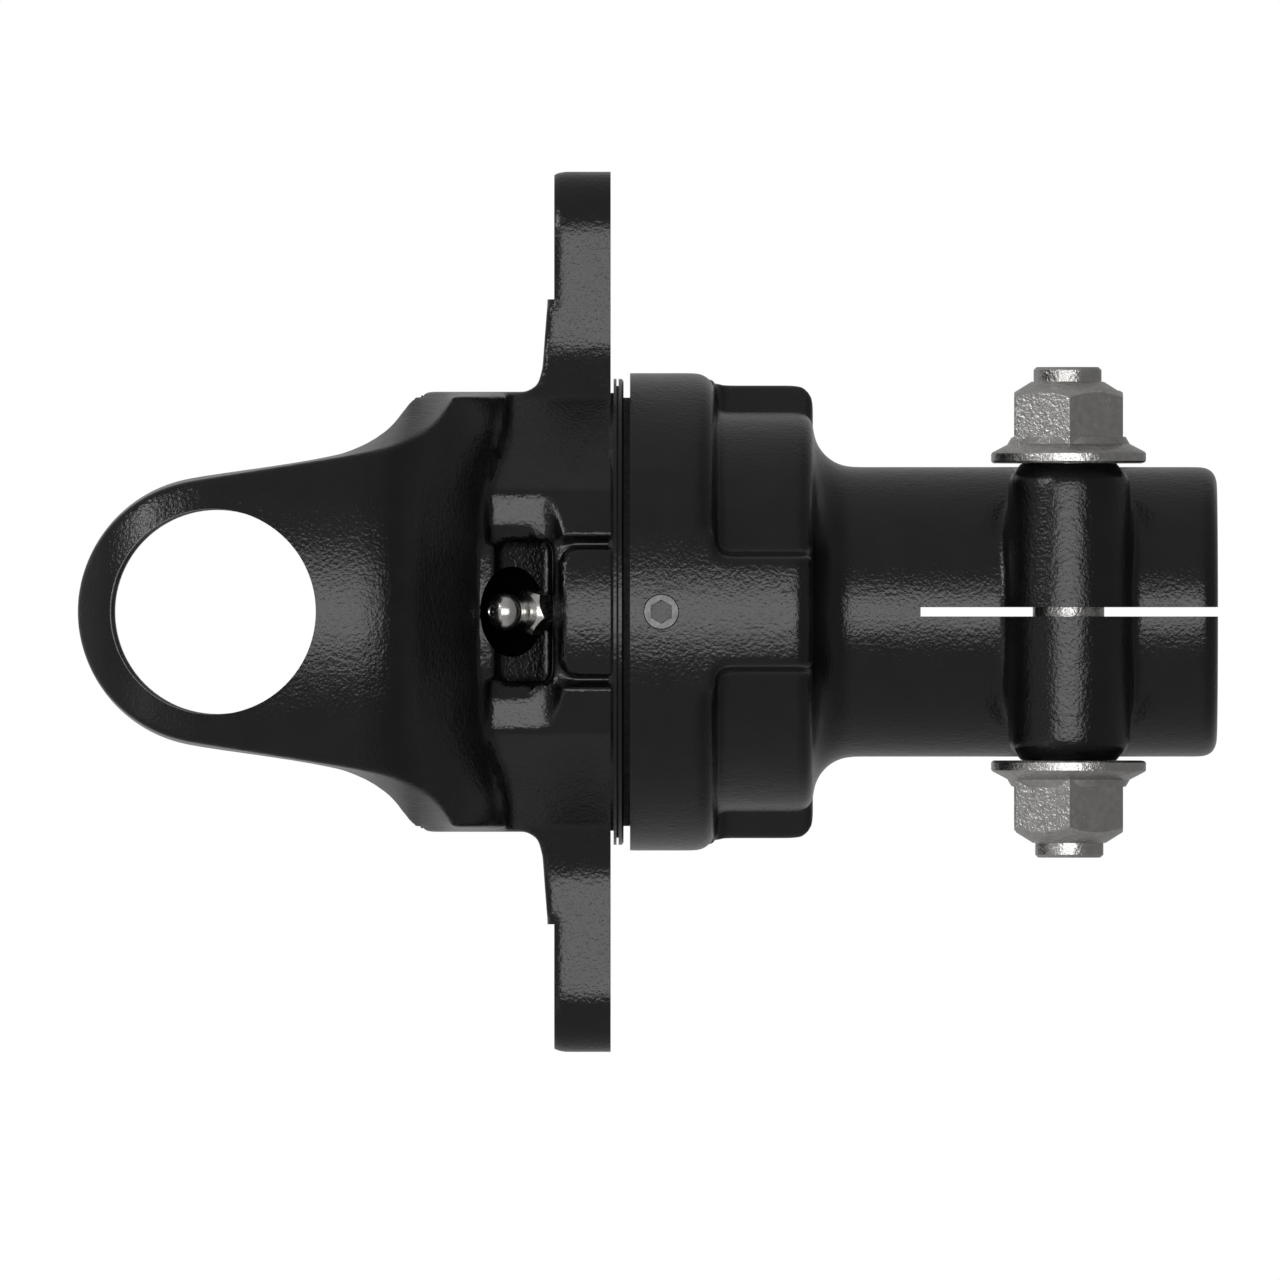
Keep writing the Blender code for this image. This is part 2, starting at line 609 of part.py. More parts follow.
def make_bolt(name, side, up):
    """A flange bolt along Z. up is 1 when its head is on top."""
    shank = [
        (FLANGE_SEAT_Z, BOLT_RADIUS),
        (-BOLT_TIP_Z + 0.9 * MM, BOLT_RADIUS),
        (-BOLT_TIP_Z, BOLT_RADIUS - 0.9 * MM),
        (-BOLT_TIP_Z, 0),
    ]
    place = Matrix.Translation((BOLT_X, side * BOSS_Y, 0))
    turn = Matrix.Rotation(0 if up > 0 else math.pi, 4, "X")
    bolt = turned(name, flange_profile() + shank, ZINC, axis=place @ turn, steps=SMALL_STEPS)
    head = hex_prism(name + "_hex", HEX_START_Z - 2 * MM, HEAD_TOP_Z, HEX_ACROSS_FLATS)
    head.matrix_world = place @ turn
    join(bolt, head)


def make_nut(name, side, up):
    """A flange nut along Z. up is 1 when it is on top."""
    place = Matrix.Translation((BOLT_X, side * BOSS_Y, 0))
    turn = Matrix.Rotation(0 if up > 0 else math.pi, 4, "X")
    profile = flange_profile() + [(FLANGE_SEAT_Z, 0)]
    nut = turned(name, profile, ZINC, axis=place @ turn, steps=SMALL_STEPS)
    body = hex_prism(name + "_hex", HEX_START_Z - 2 * MM, NUT_TOP_Z, HEX_ACROSS_FLATS)
    body.matrix_world = place @ turn
    corner = HEX_ACROSS_FLATS / 2 / math.cos(math.radians(30))
    crown = [(NUT_TOP_Z + 1 * MM, 0), (NUT_TOP_Z + 1 * MM, corner - 3.4 * MM)]
    crown += [(NUT_TOP_Z - 2.4 * MM, corner + 0.1 * MM), (0, corner + 0.1 * MM), (0, 0)]
    modify(body, "INTERSECT", turned(name + "_crown", crown, axis=place @ turn, steps=SMALL_STEPS))
    join(nut, body)
    y = side * BOSS_Y
    ends = (FLANGE_SEAT_Z - 2 * MM) * up, (NUT_TOP_Z + 2 * MM) * up
    cut(nut, rod(name + "_hole", (BOLT_X, y, ends[0]), (BOLT_X, y, ends[1]), BOLT_HOLE_RADIUS))


# --- Small parts


def make_ball_plug():
    """The socket set screw in the ball ring, its socket facing -Y."""
    profile = [
        (-34.3 * MM, 0),
        (-34.3 * MM, 2.5 * MM),
        (-34.8 * MM, 3.0 * MM),
        (-40.2 * MM, 3.0 * MM),
        (-40.5 * MM, 2.7 * MM),
        (-40.5 * MM, 0),
    ]
    place = Matrix.Translation((BALL_X, 0, 0)) @ ALONG_Y
    plug = turned("ball_plug", profile, STEEL, axis=place, steps=SMALL_STEPS)
    socket = outline_mesh("socket", hexagon(3.4 * MM, 90), 37.6 * MM, 45 * MM, XZ_TO_Y)
    socket.transform(Matrix.Translation((BALL_X, 0, 0)))
    cut(plug, add_object("socket", socket))


def make_balls():
    for i in range(BALL_COUNT):
        angle = math.tau * (i + 0.5) / BALL_COUNT
        bm = bmesh.new()
        bmesh.ops.create_uvsphere(bm, u_segments=8, v_segments=6, radius=BALL_RADIUS)
        mesh = bpy.data.meshes.new(f"ball_{i + 1:02d}")
        bm.to_mesh(mesh)
        bm.free()
        ball = add_object(mesh.name, mesh, STEEL)
        place = (BALL_X, -BALL_PITCH_RADIUS * math.cos(angle), BALL_PITCH_RADIUS * math.sin(angle))
        ball.matrix_world = Matrix.Translation(place) @ Matrix.Rotation(-angle, 4, "X")


def ring(name, faces, radii, look):
    """A flat or plain ring round the shaft, from its right face to its left one."""
    right, left = faces
    inner, outer = radii
    profile = [(right, inner), (right, outer), (left, outer), (left, inner)]
    return turned(name, profile, look, closed=True)


def coil(name, low, high, radius, wire, turns, place, look):
    """A compression spring along local Z, with a closed end turn at each end."""
    steps = 8
    count = int(turns * steps)
    curve = bpy.data.curves.new(name, "CURVE")
    curve.dimensions = "3D"
    curve.bevel_depth = wire
    curve.bevel_resolution = 1
    curve.use_fill_caps = True
    spline = curve.splines.new("POLY")
    spline.points.add(count)
    for i, point in enumerate(spline.points):
        angle = math.tau * i / steps
        share = i / count
        z = low + wire + (high - low - 2 * wire) * (3 * share**2 - 2 * share**3)
        point.co = (radius * math.cos(angle), radius * math.sin(angle), z, 1)
    obj = add_object(name, curve, look)
    obj.matrix_world = place


def pawl_outline():
    """A pawl facing -Y, in (y, z): a guided block with a nose that matches a notch."""
    half = PAWL_WIDTH / 2
    return [
        (-PAWL_TOP, -half),
        (-PAWL_SHOULDER, -half),
        (-PAWL_SHOULDER, -5.0 * MM),
        (-PAWL_TIP, -1.0 * MM),
        (-PAWL_TIP, 3.2 * MM),
        (-PAWL_SHOULDER, 3.2 * MM),
        (-PAWL_SHOULDER, half),
        (-PAWL_TOP, half),
    ]


def make_pawls():
    """Three pawls at 120 degrees, each with two springs between it and its pocket's roof."""
    middle = sum(PAWL_POCKET_X) / 2
    outward = Matrix.Rotation(math.radians(90), 4, "X")
    for i in range(PAWL_COUNT):
        turn = Matrix.Rotation(math.tau * i / PAWL_COUNT, 4, "X")
        low, high = middle - PAWL_LENGTH / 2, middle + PAWL_LENGTH / 2
        mesh = outline_mesh(f"pawl_{i + 1}", pawl_outline(), low, high, YZ_TO_X)
        pawl = add_object(mesh.name, mesh, STEEL)
        pawl.matrix_world = turn
        for label, side in (("a", -1), ("b", 1)):
            x = middle + side * SPRING_SPACING / 2
            floor = PAWL_TOP - SPRING_HOLE_DEPTH
            hole = rod(f"spring_hole_{i + 1}_{label}", (x, -floor, 0), (x, -REACH, 0), SPRING_HOLE_RADIUS, 12)
            hole.matrix_world = turn
            cut(pawl, hole)
            place = turn @ Matrix.Translation((x, 0, 0)) @ outward
            span = (floor + 0.2 * MM, POCKET_ROOF - 0.3 * MM)
            name = f"pawl_spring_{i + 1}_{label}"
            coil(name, *span, SPRING_RADIUS, SPRING_WIRE_RADIUS, 3, place, SPRING_STEEL)


def make_grease_fitting():
    """The nipple: threaded stem, hexagon, neck and ball head, bored through for its check ball."""
    outside = [
        (2.75 * MM, 0),
        (2.75 * MM, 1.7 * MM),
        *[(3.2 * MM * math.sin(a), 3.2 * MM * math.cos(a)) for a in map(math.radians, (40, 15, -15, -40))],
        (-3.6 * MM, 2.1 * MM),
        (HEX_TOP + 0.5 * MM, 2.3 * MM),
        (HEX_TOP + 0.5 * MM, 3.0 * MM),
        (HEX_BASE, 3.0 * MM),
        (THREAD_END + 0.6 * MM, 3.0 * MM),
        (THREAD_END, 2.5 * MM),
        (THREAD_END, 0),
    ]
    fitting = turned("grease_fitting", outside, CHROME, axis=fitting_axis(), steps=12)
    hexagon_part = hex_prism("fitting_hex", HEX_BASE, HEX_TOP, FITTING_HEX_ACROSS_FLATS)
    hexagon_part.matrix_world = fitting_axis() @ Matrix.Rotation(math.radians(90), 4, "Z")
    join(fitting, hexagon_part)
    bore = [
        (4 * MM, 0),
        (4 * MM, 0.8 * MM),
        (1.9 * MM, 0.8 * MM),
        (1.2 * MM, 1.4 * MM),
        (-7.6 * MM, 1.4 * MM),
        (-7.6 * MM, 0.9 * MM),
        (-20 * MM, 0.9 * MM),
        (-20 * MM, 0),
    ]
    cut(fitting, turned("fitting_bore", bore, axis=fitting_axis(), steps=10))
    bm = bmesh.new()
    bmesh.ops.create_uvsphere(bm, u_segments=10, v_segments=8, radius=1.1 * MM)
    mesh = bpy.data.meshes.new("grease_check_ball")
    bm.to_mesh(mesh)
    bm.free()
    ball = add_object(mesh.name, mesh, CHROME)
    ball.matrix_world = fitting_axis() @ Matrix.Translation((0, 0, 0.45 * MM))
    span = (-7.3 * MM, -1.0 * MM)
    coil("grease_check_spring", *span, 0.85 * MM, 0.2 * MM, 4, fitting_axis(), SPRING_STEEL)


def shade(obj):
    if obj.type == "MESH" and not obj.hide_render:
        obj.data.shade_smooth()
        obj.data.set_sharp_from_angle(angle=math.radians(35))


clear_scene()
parts = new_collection("overrunning_clutch")
helpers = new_collection("cutters")
make_yoke()
make_hub()
make_bolt("clamp_bolt_front", -1, 1)
make_nut("clamp_nut_front", -1, -1)
make_bolt("clamp_bolt_back", 1, -1)
make_nut("clamp_nut_back", 1, 1)
make_ball_plug()
make_balls()
make_pawls()
make_grease_fitting()
ring("seal_ring", SEAL_X, SEAL_RADII, RUBBER)
ring("thrust_washer", WASHER_X, WASHER_RADII, BRONZE)
ring("pilot_bush", BUSH_X, BUSH_RADII, BRONZE)
rod("end_disc", (DISC_X[0], 0, 0), (DISC_X[1], 0, 0), DISC_RADIUS, TURN_STEPS, ZINC)
for part in parts.objects:
    shade(part)
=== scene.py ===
"""The looks of a driveline freewheel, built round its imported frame.

Units are metres, in the frame of the CAD: X is the shaft axis, Z is up and -Y faces the viewer.
The two castings are closed solids laid over each other, fused into one skin with cast-round edges,
and then machined: faces, bores, holes and slots are cut sharp.
"""

import json
import math

import bmesh
import bpy
import numpy as np
from mathutils import Matrix, Vector


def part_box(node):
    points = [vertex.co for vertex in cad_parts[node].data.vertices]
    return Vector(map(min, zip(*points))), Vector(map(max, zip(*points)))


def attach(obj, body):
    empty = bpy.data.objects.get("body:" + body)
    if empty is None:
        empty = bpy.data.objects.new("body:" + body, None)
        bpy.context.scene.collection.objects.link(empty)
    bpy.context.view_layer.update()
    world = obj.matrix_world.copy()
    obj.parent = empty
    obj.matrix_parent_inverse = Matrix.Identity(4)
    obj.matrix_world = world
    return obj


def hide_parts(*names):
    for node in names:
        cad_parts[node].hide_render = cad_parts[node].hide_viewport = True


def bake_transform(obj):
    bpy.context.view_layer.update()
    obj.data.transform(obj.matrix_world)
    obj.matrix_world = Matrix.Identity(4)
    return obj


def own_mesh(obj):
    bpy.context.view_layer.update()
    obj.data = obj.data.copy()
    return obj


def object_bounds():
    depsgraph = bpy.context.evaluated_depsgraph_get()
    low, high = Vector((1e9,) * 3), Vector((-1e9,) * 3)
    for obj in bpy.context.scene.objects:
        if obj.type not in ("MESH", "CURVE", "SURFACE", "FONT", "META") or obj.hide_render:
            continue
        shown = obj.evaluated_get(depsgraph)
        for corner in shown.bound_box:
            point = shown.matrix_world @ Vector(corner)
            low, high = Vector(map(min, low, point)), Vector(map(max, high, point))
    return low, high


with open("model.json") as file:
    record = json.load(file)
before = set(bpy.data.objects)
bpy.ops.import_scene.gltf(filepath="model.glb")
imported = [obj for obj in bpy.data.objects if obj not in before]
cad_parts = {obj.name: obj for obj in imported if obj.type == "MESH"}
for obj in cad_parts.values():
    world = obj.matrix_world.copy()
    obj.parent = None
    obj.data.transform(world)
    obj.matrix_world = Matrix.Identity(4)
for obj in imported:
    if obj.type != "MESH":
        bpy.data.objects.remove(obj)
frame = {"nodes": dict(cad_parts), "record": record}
cad_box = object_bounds()

MM = 0.001
# Grid of the castings' skin, and the passes of smoothing that round its edges
VOXEL = 0.5 * MM
SMOOTH_PASSES = 14
# Sides of a turned solid
ROUND = 96
# Farther out than the ears and the hub, for solids that cut right through
REACH = 60 * MM
# A casting's material slots: paint, machined steel, and the dark rubber look used as painted shade
# in the gap by the collar
PAINT_FACE, BARE_FACE, GAP_SHADE_FACE = 0, 1, 2
# Where a noise texture's useful range starts and ends
NOISE_LOW, NOISE_HIGH = 0.35, 0.65

# Stations and sizes taken from the frame
hub_low, hub_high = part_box("hub_body")
yoke_low, yoke_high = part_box("yoke_body")
plug_low, plug_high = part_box("ball_plug")
bolt_low, bolt_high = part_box("clamp_bolt_front")
pawl_low, pawl_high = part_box("pawl_1")
HUB_MOUTH_X = hub_low.x
HUB_RADIUS = hub_high.z
EAR_TIP_X = yoke_low.x
LUG_TOP_Z = yoke_high.z
BALL_X = (plug_low.x + plug_high.x) / 2
BOLT_X = (bolt_low.x + bolt_high.x) / 2
BOLT_Y = abs(bolt_low.y + bolt_high.y) / 2
PAWL_X = (pawl_low.x + pawl_high.x) / 2

# Ball row and pawls, between the castings
BALL_PITCH_RADIUS = 31.0 * MM
TRACK_RADIUS = 2.55 * MM
PAWL_ANGLES = (0, 120, 240)
NOTCHES = 12

# Yoke casting
EAR_HOLE_RADIUS = 17.46 * MM
EAR_TIP_RADIUS = 23.0 * MM
EAR_HOLE_X = EAR_TIP_X + EAR_TIP_RADIUS
EAR_INNER_Y = 38.0 * MM
CROTCH_X = -135.2 * MM
THROAT_CORNER = 19.0 * MM
BASE_LEFT_X = -124.6 * MM
BASE_HALF_HEIGHT = 37.45 * MM
BASE_PAD_Y = 33.8 * MM
BASE_STRIP_Y = 32.2 * MM
SHOULDER_LEFT_X = -116.4 * MM
LUG_LEFT_X = -114.05 * MM
LUG_STEP_X = -112.9 * MM
LUG_STEP_Z = 53.2 * MM
LUG_RIGHT_X = -103.3 * MM
LUG_HALF_WIDTH = 10.9 * MM
LUG_HOLE_Z = LUG_TOP_Z - LUG_HALF_WIDTH
LUG_HOLE_RADIUS = 5.25 * MM
COLLAR_RADIUS = 39.7 * MM
COLLAR_RIGHT_X = -101.1 * MM
# The castings' solids run this far into the next one, so that they fuse
OVERLAP = 2 * MM

# Hub casting
RECESS_RADIUS = 34.1 * MM
RING_EDGE = 3.4 * MM
RING_RIGHT_X = -85.5 * MM
LOBE_END_X = -68.8 * MM
LOBE_HALF_WIDTH = 9.2 * MM
NECK_RADIUS = 24.7 * MM
NECK_FILLET = 6.9 * MM
SLIT_END_X = -50.6 * MM
SLIT_HALF = 0.8 * MM
BOSS_SEAT_Z = 25.25 * MM

# Turns that carry Z onto the axis named, and one that lays a flat (x, y) outline on X and Z
ALONG_X = Matrix(((0, 0, 1), (1, 0, 0), (0, 1, 0))).to_4x4()
ALONG_Y = Matrix(((0, 1, 0), (0, 0, 1), (1, 0, 0))).to_4x4()
ALONG_Z = Matrix.Identity(4)
XZ_PLANE = Matrix(((1, 0, 0), (0, 0, 1), (0, 1, 0))).to_4x4()


# --- Shapes


def arc(centre, radius, start, end, steps):
    """Points on a circle from one angle to another, in degrees."""
    angles = [math.radians(start + (end - start) * i / steps) for i in range(steps + 1)]
    return [(centre[0] + radius * math.cos(a), centre[1] + radius * math.sin(a)) for a in angles]


def mirrored(points):
    """The points, then their mirror images across the first axis, back to the start."""
    return points + [(a, -b) for a, b in reversed(points) if abs(b) > 1e-9]


def filleted(corners, radii, steps=8):
    """An open path through the corners, each inner corner rounded with a tangent arc."""
    path = [corners[0]]
    for i, radius in enumerate(radii, start=1):
        before, corner, after = (Vector(corners[k]) for k in (i - 1, i, i + 1))
        way_in = (before - corner).normalized()
        way_out = (after - corner).normalized()
        half = way_in.angle(way_out) / 2
        if radius == 0 or half > math.radians(89.5):
            path.append(tuple(corner))
            continue
        centre = corner + (way_in + way_out).normalized() * radius / math.sin(half)
        start = corner + way_in * radius / math.tan(half) - centre
        turn = math.pi - 2 * half
        side = 1 if start.x * (corner - centre).y - start.y * (corner - centre).x > 0 else -1
        for k in range(steps + 1):
            angle = side * turn * k / steps
            x = start.x * math.cos(angle) - start.y * math.sin(angle)
            y = start.x * math.sin(angle) + start.y * math.cos(angle)
            path.append((centre.x + x, centre.y + y))
    path.append(corners[-1])
    return path


def eased(stations, values, at):
    """A smooth curve through the values given at rising stations, without overshoot."""
    stations = np.array(stations)
    values = np.array(values)
    widths = np.diff(stations)
    rises = np.diff(values) / widths
    slopes = np.concatenate((rises[:1], np.zeros(len(rises) - 1), rises[-1:]))
    same = rises[:-1] * rises[1:] > 0
    slopes[1:-1][same] = (2 * rises[:-1] * rises[1:])[same] / (rises[:-1] + rises[1:])[same]
    i = np.clip(np.searchsorted(stations, at) - 1, 0, len(stations) - 2)
    t = np.clip((at - stations[i]) / widths[i], 0, 1)
    start = (1 + 2 * t) * (1 - t) ** 2 * values[i] + t * (1 - t) ** 2 * widths[i] * slopes[i]
    end = t**2 * (3 - 2 * t) * values[i + 1] + t**2 * (t - 1) * widths[i] * slopes[i + 1]
    return float(start + end)


def new_object(name, data):
    obj = bpy.data.objects.new(name, data)
    bpy.context.scene.collection.objects.link(obj)
    return obj


def add_casting_looks(mesh):
    """Fills the slots that PAINT_FACE, BARE_FACE and GAP_SHADE_FACE stand for."""
    for look in (black_paint, bare_steel, rubber):
        mesh.materials.append(look)


def solid(name, bm, face=PAINT_FACE):
    """A working object from a closed bmesh, its faces pointing out."""
    bmesh.ops.remove_doubles(bm, verts=bm.verts, dist=1e-7)
    bmesh.ops.recalc_face_normals(bm, faces=bm.faces)
    for each in bm.faces:
        each.material_index = face
    mesh = bpy.data.meshes.new(name)
    bm.to_mesh(mesh)
    bm.free()
    add_casting_looks(mesh)
    return new_object(name, mesh)


def lofted(name, sections, face=PAINT_FACE):
    """A closed solid through sections with the same number of points, capped at both ends."""
    bm = bmesh.new()
    rings = [[bm.verts.new(point) for point in section] for section in sections]
    count = len(rings[0])
    for low, high in zip(rings, rings[1:]):
        for i in range(count):
            k = (i + 1) % count
            bm.faces.new((low[i], low[k], high[k], high[i]))
    bm.faces.new(rings[0])
    bm.faces.new(rings[-1])
    return solid(name, bm, face)


def extruded(name, outline, low, high, turn=ALONG_X, face=PAINT_FACE):
    """A flat outline extruded from low to high along the turned Z axis."""
    sections = [[turn @ Vector((a, b, along)) for a, b in outline] for along in (low, high)]
    return lofted(name, sections, face)


def turned(name, profile, axis=ALONG_X, face=PAINT_FACE, steps=ROUND, closed=False):
    """A turned solid from (place along the axis, radius) points.

    A profile that isn't closed starts and ends on the axis.
    """
    bm = bmesh.new()
    rings = []
    for along, radius in profile:
        if radius < 1e-7:
            rings.append([bm.verts.new(axis @ Vector((0, 0, along)))] * steps)
            continue
        ring = []
        for i in range(steps):
            angle = math.tau * i / steps
            point = Vector((radius * math.cos(angle), radius * math.sin(angle), along))
            ring.append(bm.verts.new(axis @ point))
        rings.append(ring)
    if closed:
        rings.append(rings[0])
    for low, high in zip(rings, rings[1:]):
        for i in range(steps):
            k = (i + 1) % steps
            corners = list(dict.fromkeys((low[i], low[k], high[k], high[i])))
            if len(corners) > 2:
                bm.faces.new(corners)
    return solid(name, bm, face)


def block(name, low, high, face=PAINT_FACE):
    """A box between two corners."""
    outline = [(low[0], low[1]), (high[0], low[1]), (high[0], high[1]), (low[0], high[1])]
    return extruded(name, outline, low[2], high[2], ALONG_Z, face)


def rod(name, start, end, radius, face=PAINT_FACE, steps=ROUND // 2):
    """A cylinder between two points."""
    start, end = Vector(start), Vector(end)
    turn = Vector((0, 0, 1)).rotation_difference(end - start).to_matrix().to_4x4()
    length = (end - start).length
    profile = [(0, 0), (0, radius), (length, radius), (length, 0)]
    return turned(name, profile, Matrix.Translation(start) @ turn, face, steps)


def moved(obj, matrix):
    """The object, with its mesh carried by the matrix."""
    obj.data.transform(matrix)
    return obj


def around_shaft(obj, turns):
    """Replaces the object's mesh with copies turned about the shaft by each angle, in degrees."""
    bm = bmesh.new()
    for angle in turns:
        copy = obj.data.copy()
        copy.transform(Matrix.Rotation(math.radians(angle), 4, "X"))
        bm.from_mesh(copy)
        bpy.data.meshes.remove(copy)
    bm.to_mesh(obj.data)
    bm.free()
    return obj


# --- Working on solids


def settle(obj):
    """Replaces the object's mesh with what its modifiers make of it."""
    graph = bpy.context.evaluated_depsgraph_get()
    mesh = bpy.data.meshes.new_from_object(obj.evaluated_get(graph))
    before = obj.data
    obj.modifiers.clear()
    obj.data = mesh
    bpy.data.meshes.remove(before)


def discard(*objs):
    for obj in objs:
        mesh = obj.data
        bpy.data.objects.remove(obj)
        bpy.data.meshes.remove(mesh)


def combine(obj, operation, *others):
    """An exact Boolean of the object with each of the others, which are used up."""
    for other in others:
        modifier = obj.modifiers.new("Boolean", "BOOLEAN")
        modifier.operation = operation
        modifier.object = other
        modifier.solver = "EXACT"
        settle(obj)
        discard(other)
    return obj


def cast(name, solids, passes):
    """One skin over closed solids that overlap, with edges rounded as in a sand mould."""
    bm = bmesh.new()
    for each in solids:
        bm.from_mesh(each.data)
    discard(*solids)
    blank = solid(name, bm)
    remesh = blank.modifiers.new("Remesh", "REMESH")
    remesh.mode = "VOXEL"
    remesh.voxel_size = VOXEL
    smooth = blank.modifiers.new("Smooth", "SMOOTH")
    smooth.factor = 0.5
    smooth.iterations = passes
    settle(blank)
    blank.data.materials.clear()
    add_casting_looks(blank.data)
    blank.data.polygons.foreach_set("material_index", [PAINT_FACE] * len(blank.data.polygons))
    return blank


def shade(obj, sharp):
    """Smooth shading, but for edges that turn by more than the sharp angle, in degrees."""
    obj.data.shade_smooth()
    obj.data.set_sharp_from_angle(angle=math.radians(sharp))


def finish_piece(obj, body, slot, *nodes, sharp=30):
    """Shades a finished piece, puts it on its body and lets it stand for its CAD nodes."""
    shade(obj, sharp)
    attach(obj, body)
    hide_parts(*nodes)
    return obj


# --- Materials


def new_material(name):
    made = bpy.data.materials.new(name)
    made.use_nodes = True
    return made, made.node_tree.nodes, made.node_tree.links


def noise(nodes, links, size, detail=3.0, rough=0.5):
    """Noise with features about as wide as the given size in metres, in the object's own space."""
    place = nodes.new("ShaderNodeTexCoord")
    made = nodes.new("ShaderNodeTexNoise")
    made.inputs["Scale"].default_value = 1 / size
    made.inputs["Detail"].default_value = detail
    made.inputs["Roughness"].default_value = rough
    links.new(place.outputs["Object"], made.inputs["Vector"])
    return made.outputs["Fac"]


def ranged(nodes, links, source, low, high, start=NOISE_LOW, end=NOISE_HIGH):
    """The source mapped to run from low to high as it goes from start to end."""
    made = nodes.new("ShaderNodeMapRange")
    made.inputs["From Min"].default_value = start
    made.inputs["From Max"].default_value = end
    made.inputs["To Min"].default_value = low
    made.inputs["To Max"].default_value = high
    links.new(source, made.inputs["Value"])
    return made.outputs["Result"]


def two_colours(nodes, links, source, first, second):
    """One colour that passes into another over the source's useful range."""
    ramp = nodes.new("ShaderNodeValToRGB")
    stops = ramp.color_ramp.elements
    stops[0].position, stops[1].position = NOISE_LOW, NOISE_HIGH
    stops[0].color, stops[1].color = (*first, 1), (*second, 1)
    links.new(source, ramp.inputs["Fac"])
    return ramp.outputs["Color"]


def bumps(nodes, links, layers):
    """Bump nodes in a chain, one for each (height source, depth in metres)."""
    normal = None
    for height, depth in layers:
        made = nodes.new("ShaderNodeBump")
        made.inputs["Strength"].default_value = 1.0
        made.inputs["Distance"].default_value = depth
        links.new(height, made.inputs["Height"])
        if normal is not None:
            links.new(normal, made.inputs["Normal"])
        normal = made.outputs["Normal"]
    return normal


GLOSS_TO_COLOUR_SIZE = 0.6


def surface(name, colours, colour_size, metallic, roughness, bump_layers):
    """A Principled material: two mottled colours, a roughness range and layers of bump.

    Each bump layer is (size of its features, depth, detail of the noise).
    """
    made, nodes, links = new_material(name)
    shader = nodes["Principled BSDF"]
    shader.inputs["Metallic"].default_value = metallic
    mottle = noise(nodes, links, colour_size)
    links.new(two_colours(nodes, links, mottle, *colours), shader.inputs["Base Color"])
    gloss = noise(nodes, links, GLOSS_TO_COLOUR_SIZE * colour_size)
    links.new(ranged(nodes, links, gloss, *roughness), shader.inputs["Roughness"])
    layers = [(noise(nodes, links, size, detail), depth) for size, depth, detail in bump_layers]
    links.new(bumps(nodes, links, layers), shader.inputs["Normal"])
    return made


black_paint = surface(
    "black_paint",
    ((0.0022, 0.0022, 0.0023), (0.0036, 0.0036, 0.0038)),
    6 * MM,
    0.0,
    (0.09, 0.14),
    ((0.6 * MM, 0.115 * MM, 4.0), (3.0 * MM, 0.05 * MM, 1.0)),
)
bare_steel = surface(
    "bare_steel",
    ((0.30, 0.30, 0.31), (0.40, 0.40, 0.41)),
    3 * MM,
    1.0,
    (0.24, 0.36),
    ((0.25 * MM, 0.004 * MM, 2.0),),
)
zinc_plate = surface(
    "zinc_plate",
    ((0.52, 0.51, 0.495), (0.60, 0.59, 0.575)),
    1.4 * MM,
    1.0,
    (0.16, 0.26),
    ((0.5 * MM, 0.14 * MM, 4.0), (1.8 * MM, 0.1 * MM, 1.0)),
)
black_oxide = surface(
    "black_oxide",
    ((0.08, 0.08, 0.08), (0.1, 0.1, 0.1)),
    1.0 * MM,
    1.0,
    (0.22, 0.32),
    ((0.4 * MM, 0.006 * MM, 2.0),),
)
nickel_plate = surface(
    "nickel_plate",
    ((0.66, 0.65, 0.62), (0.78, 0.77, 0.74)),
    1.5 * MM,
    1.0,
    (0.18, 0.28),
    ((0.4 * MM, 0.004 * MM, 1.0),),
)
spring_steel = surface(
    "spring_steel",
    ((0.24, 0.24, 0.25), (0.34, 0.34, 0.35)),
    1 * MM,
    1.0,
    (0.22, 0.35),
    ((0.3 * MM, 0.004 * MM, 1.0),),
)
bronze = surface(
    "bronze",
    ((0.42, 0.26, 0.11), (0.58, 0.38, 0.17)),
    1.2 * MM,
    1.0,
    (0.30, 0.45),
    ((0.3 * MM, 0.01 * MM, 3.0),),
)
# The seal's rubber, also laid on the yoke's collar grooves and gap faces as painted shade
rubber = surface(
    "rubber",
    ((0.012, 0.012, 0.012), (0.024, 0.024, 0.024)),
    1.0 * MM,
    0.0,
    (0.6, 0.8),
    ((0.3 * MM, 0.01 * MM, 2.0),),
)

NODE_LOOKS = {
    "machined_steel": bare_steel,
    "zinc_plate": zinc_plate,
    "nickel_plate": nickel_plate,
    "spring_steel": spring_steel,
    "bronze": bronze,
    "rubber": rubber,
    "black_paint": black_paint,
}
for part in frame["record"]["subparts"]:
    node = frame["nodes"][part["node"]]
    look = NODE_LOOKS[part["material_slot"]]
    for material_slot in node.material_slots:
        material_slot.material = look


# --- Yoke casting


# The ears are worked out in millimetres. Their outer face in the middle, from tip to root: the
# stations along the shaft, and how far the face is from the shaft at each.
MERIDIAN_X = [-194.5, -193.2, -188.0, -180.0, -170.0, -152.0, -146.5, -142.6, -139.5]
MERIDIAN_X += [-137.0, -134.0, -128.0, -126.8, -125.6, -124.3, -123.8, -110.0]
MERIDIAN_RADIUS = [44.5, 46.9, 52.6, 56.4, 58.0, 58.0, 57.9, 57.3, 56.2]
MERIDIAN_RADIUS += [54.1, 50.5, 42.9, 41.3, 39.4, 38.4, 30.0, 30.0]
EAR_CROWN_RADIUS = 58.0
# The root ends later towards the top and bottom of the ears, by the stretch
ROOT_START_X = -142.0
ROOT_END_X = -124.3
ROOT_STRETCH = 3.4
# Where the ears' outline leaves the round tip, and where it starts to curve up to the base
FLANK_START_X = -173.0
FLANK_END_X = -149.4


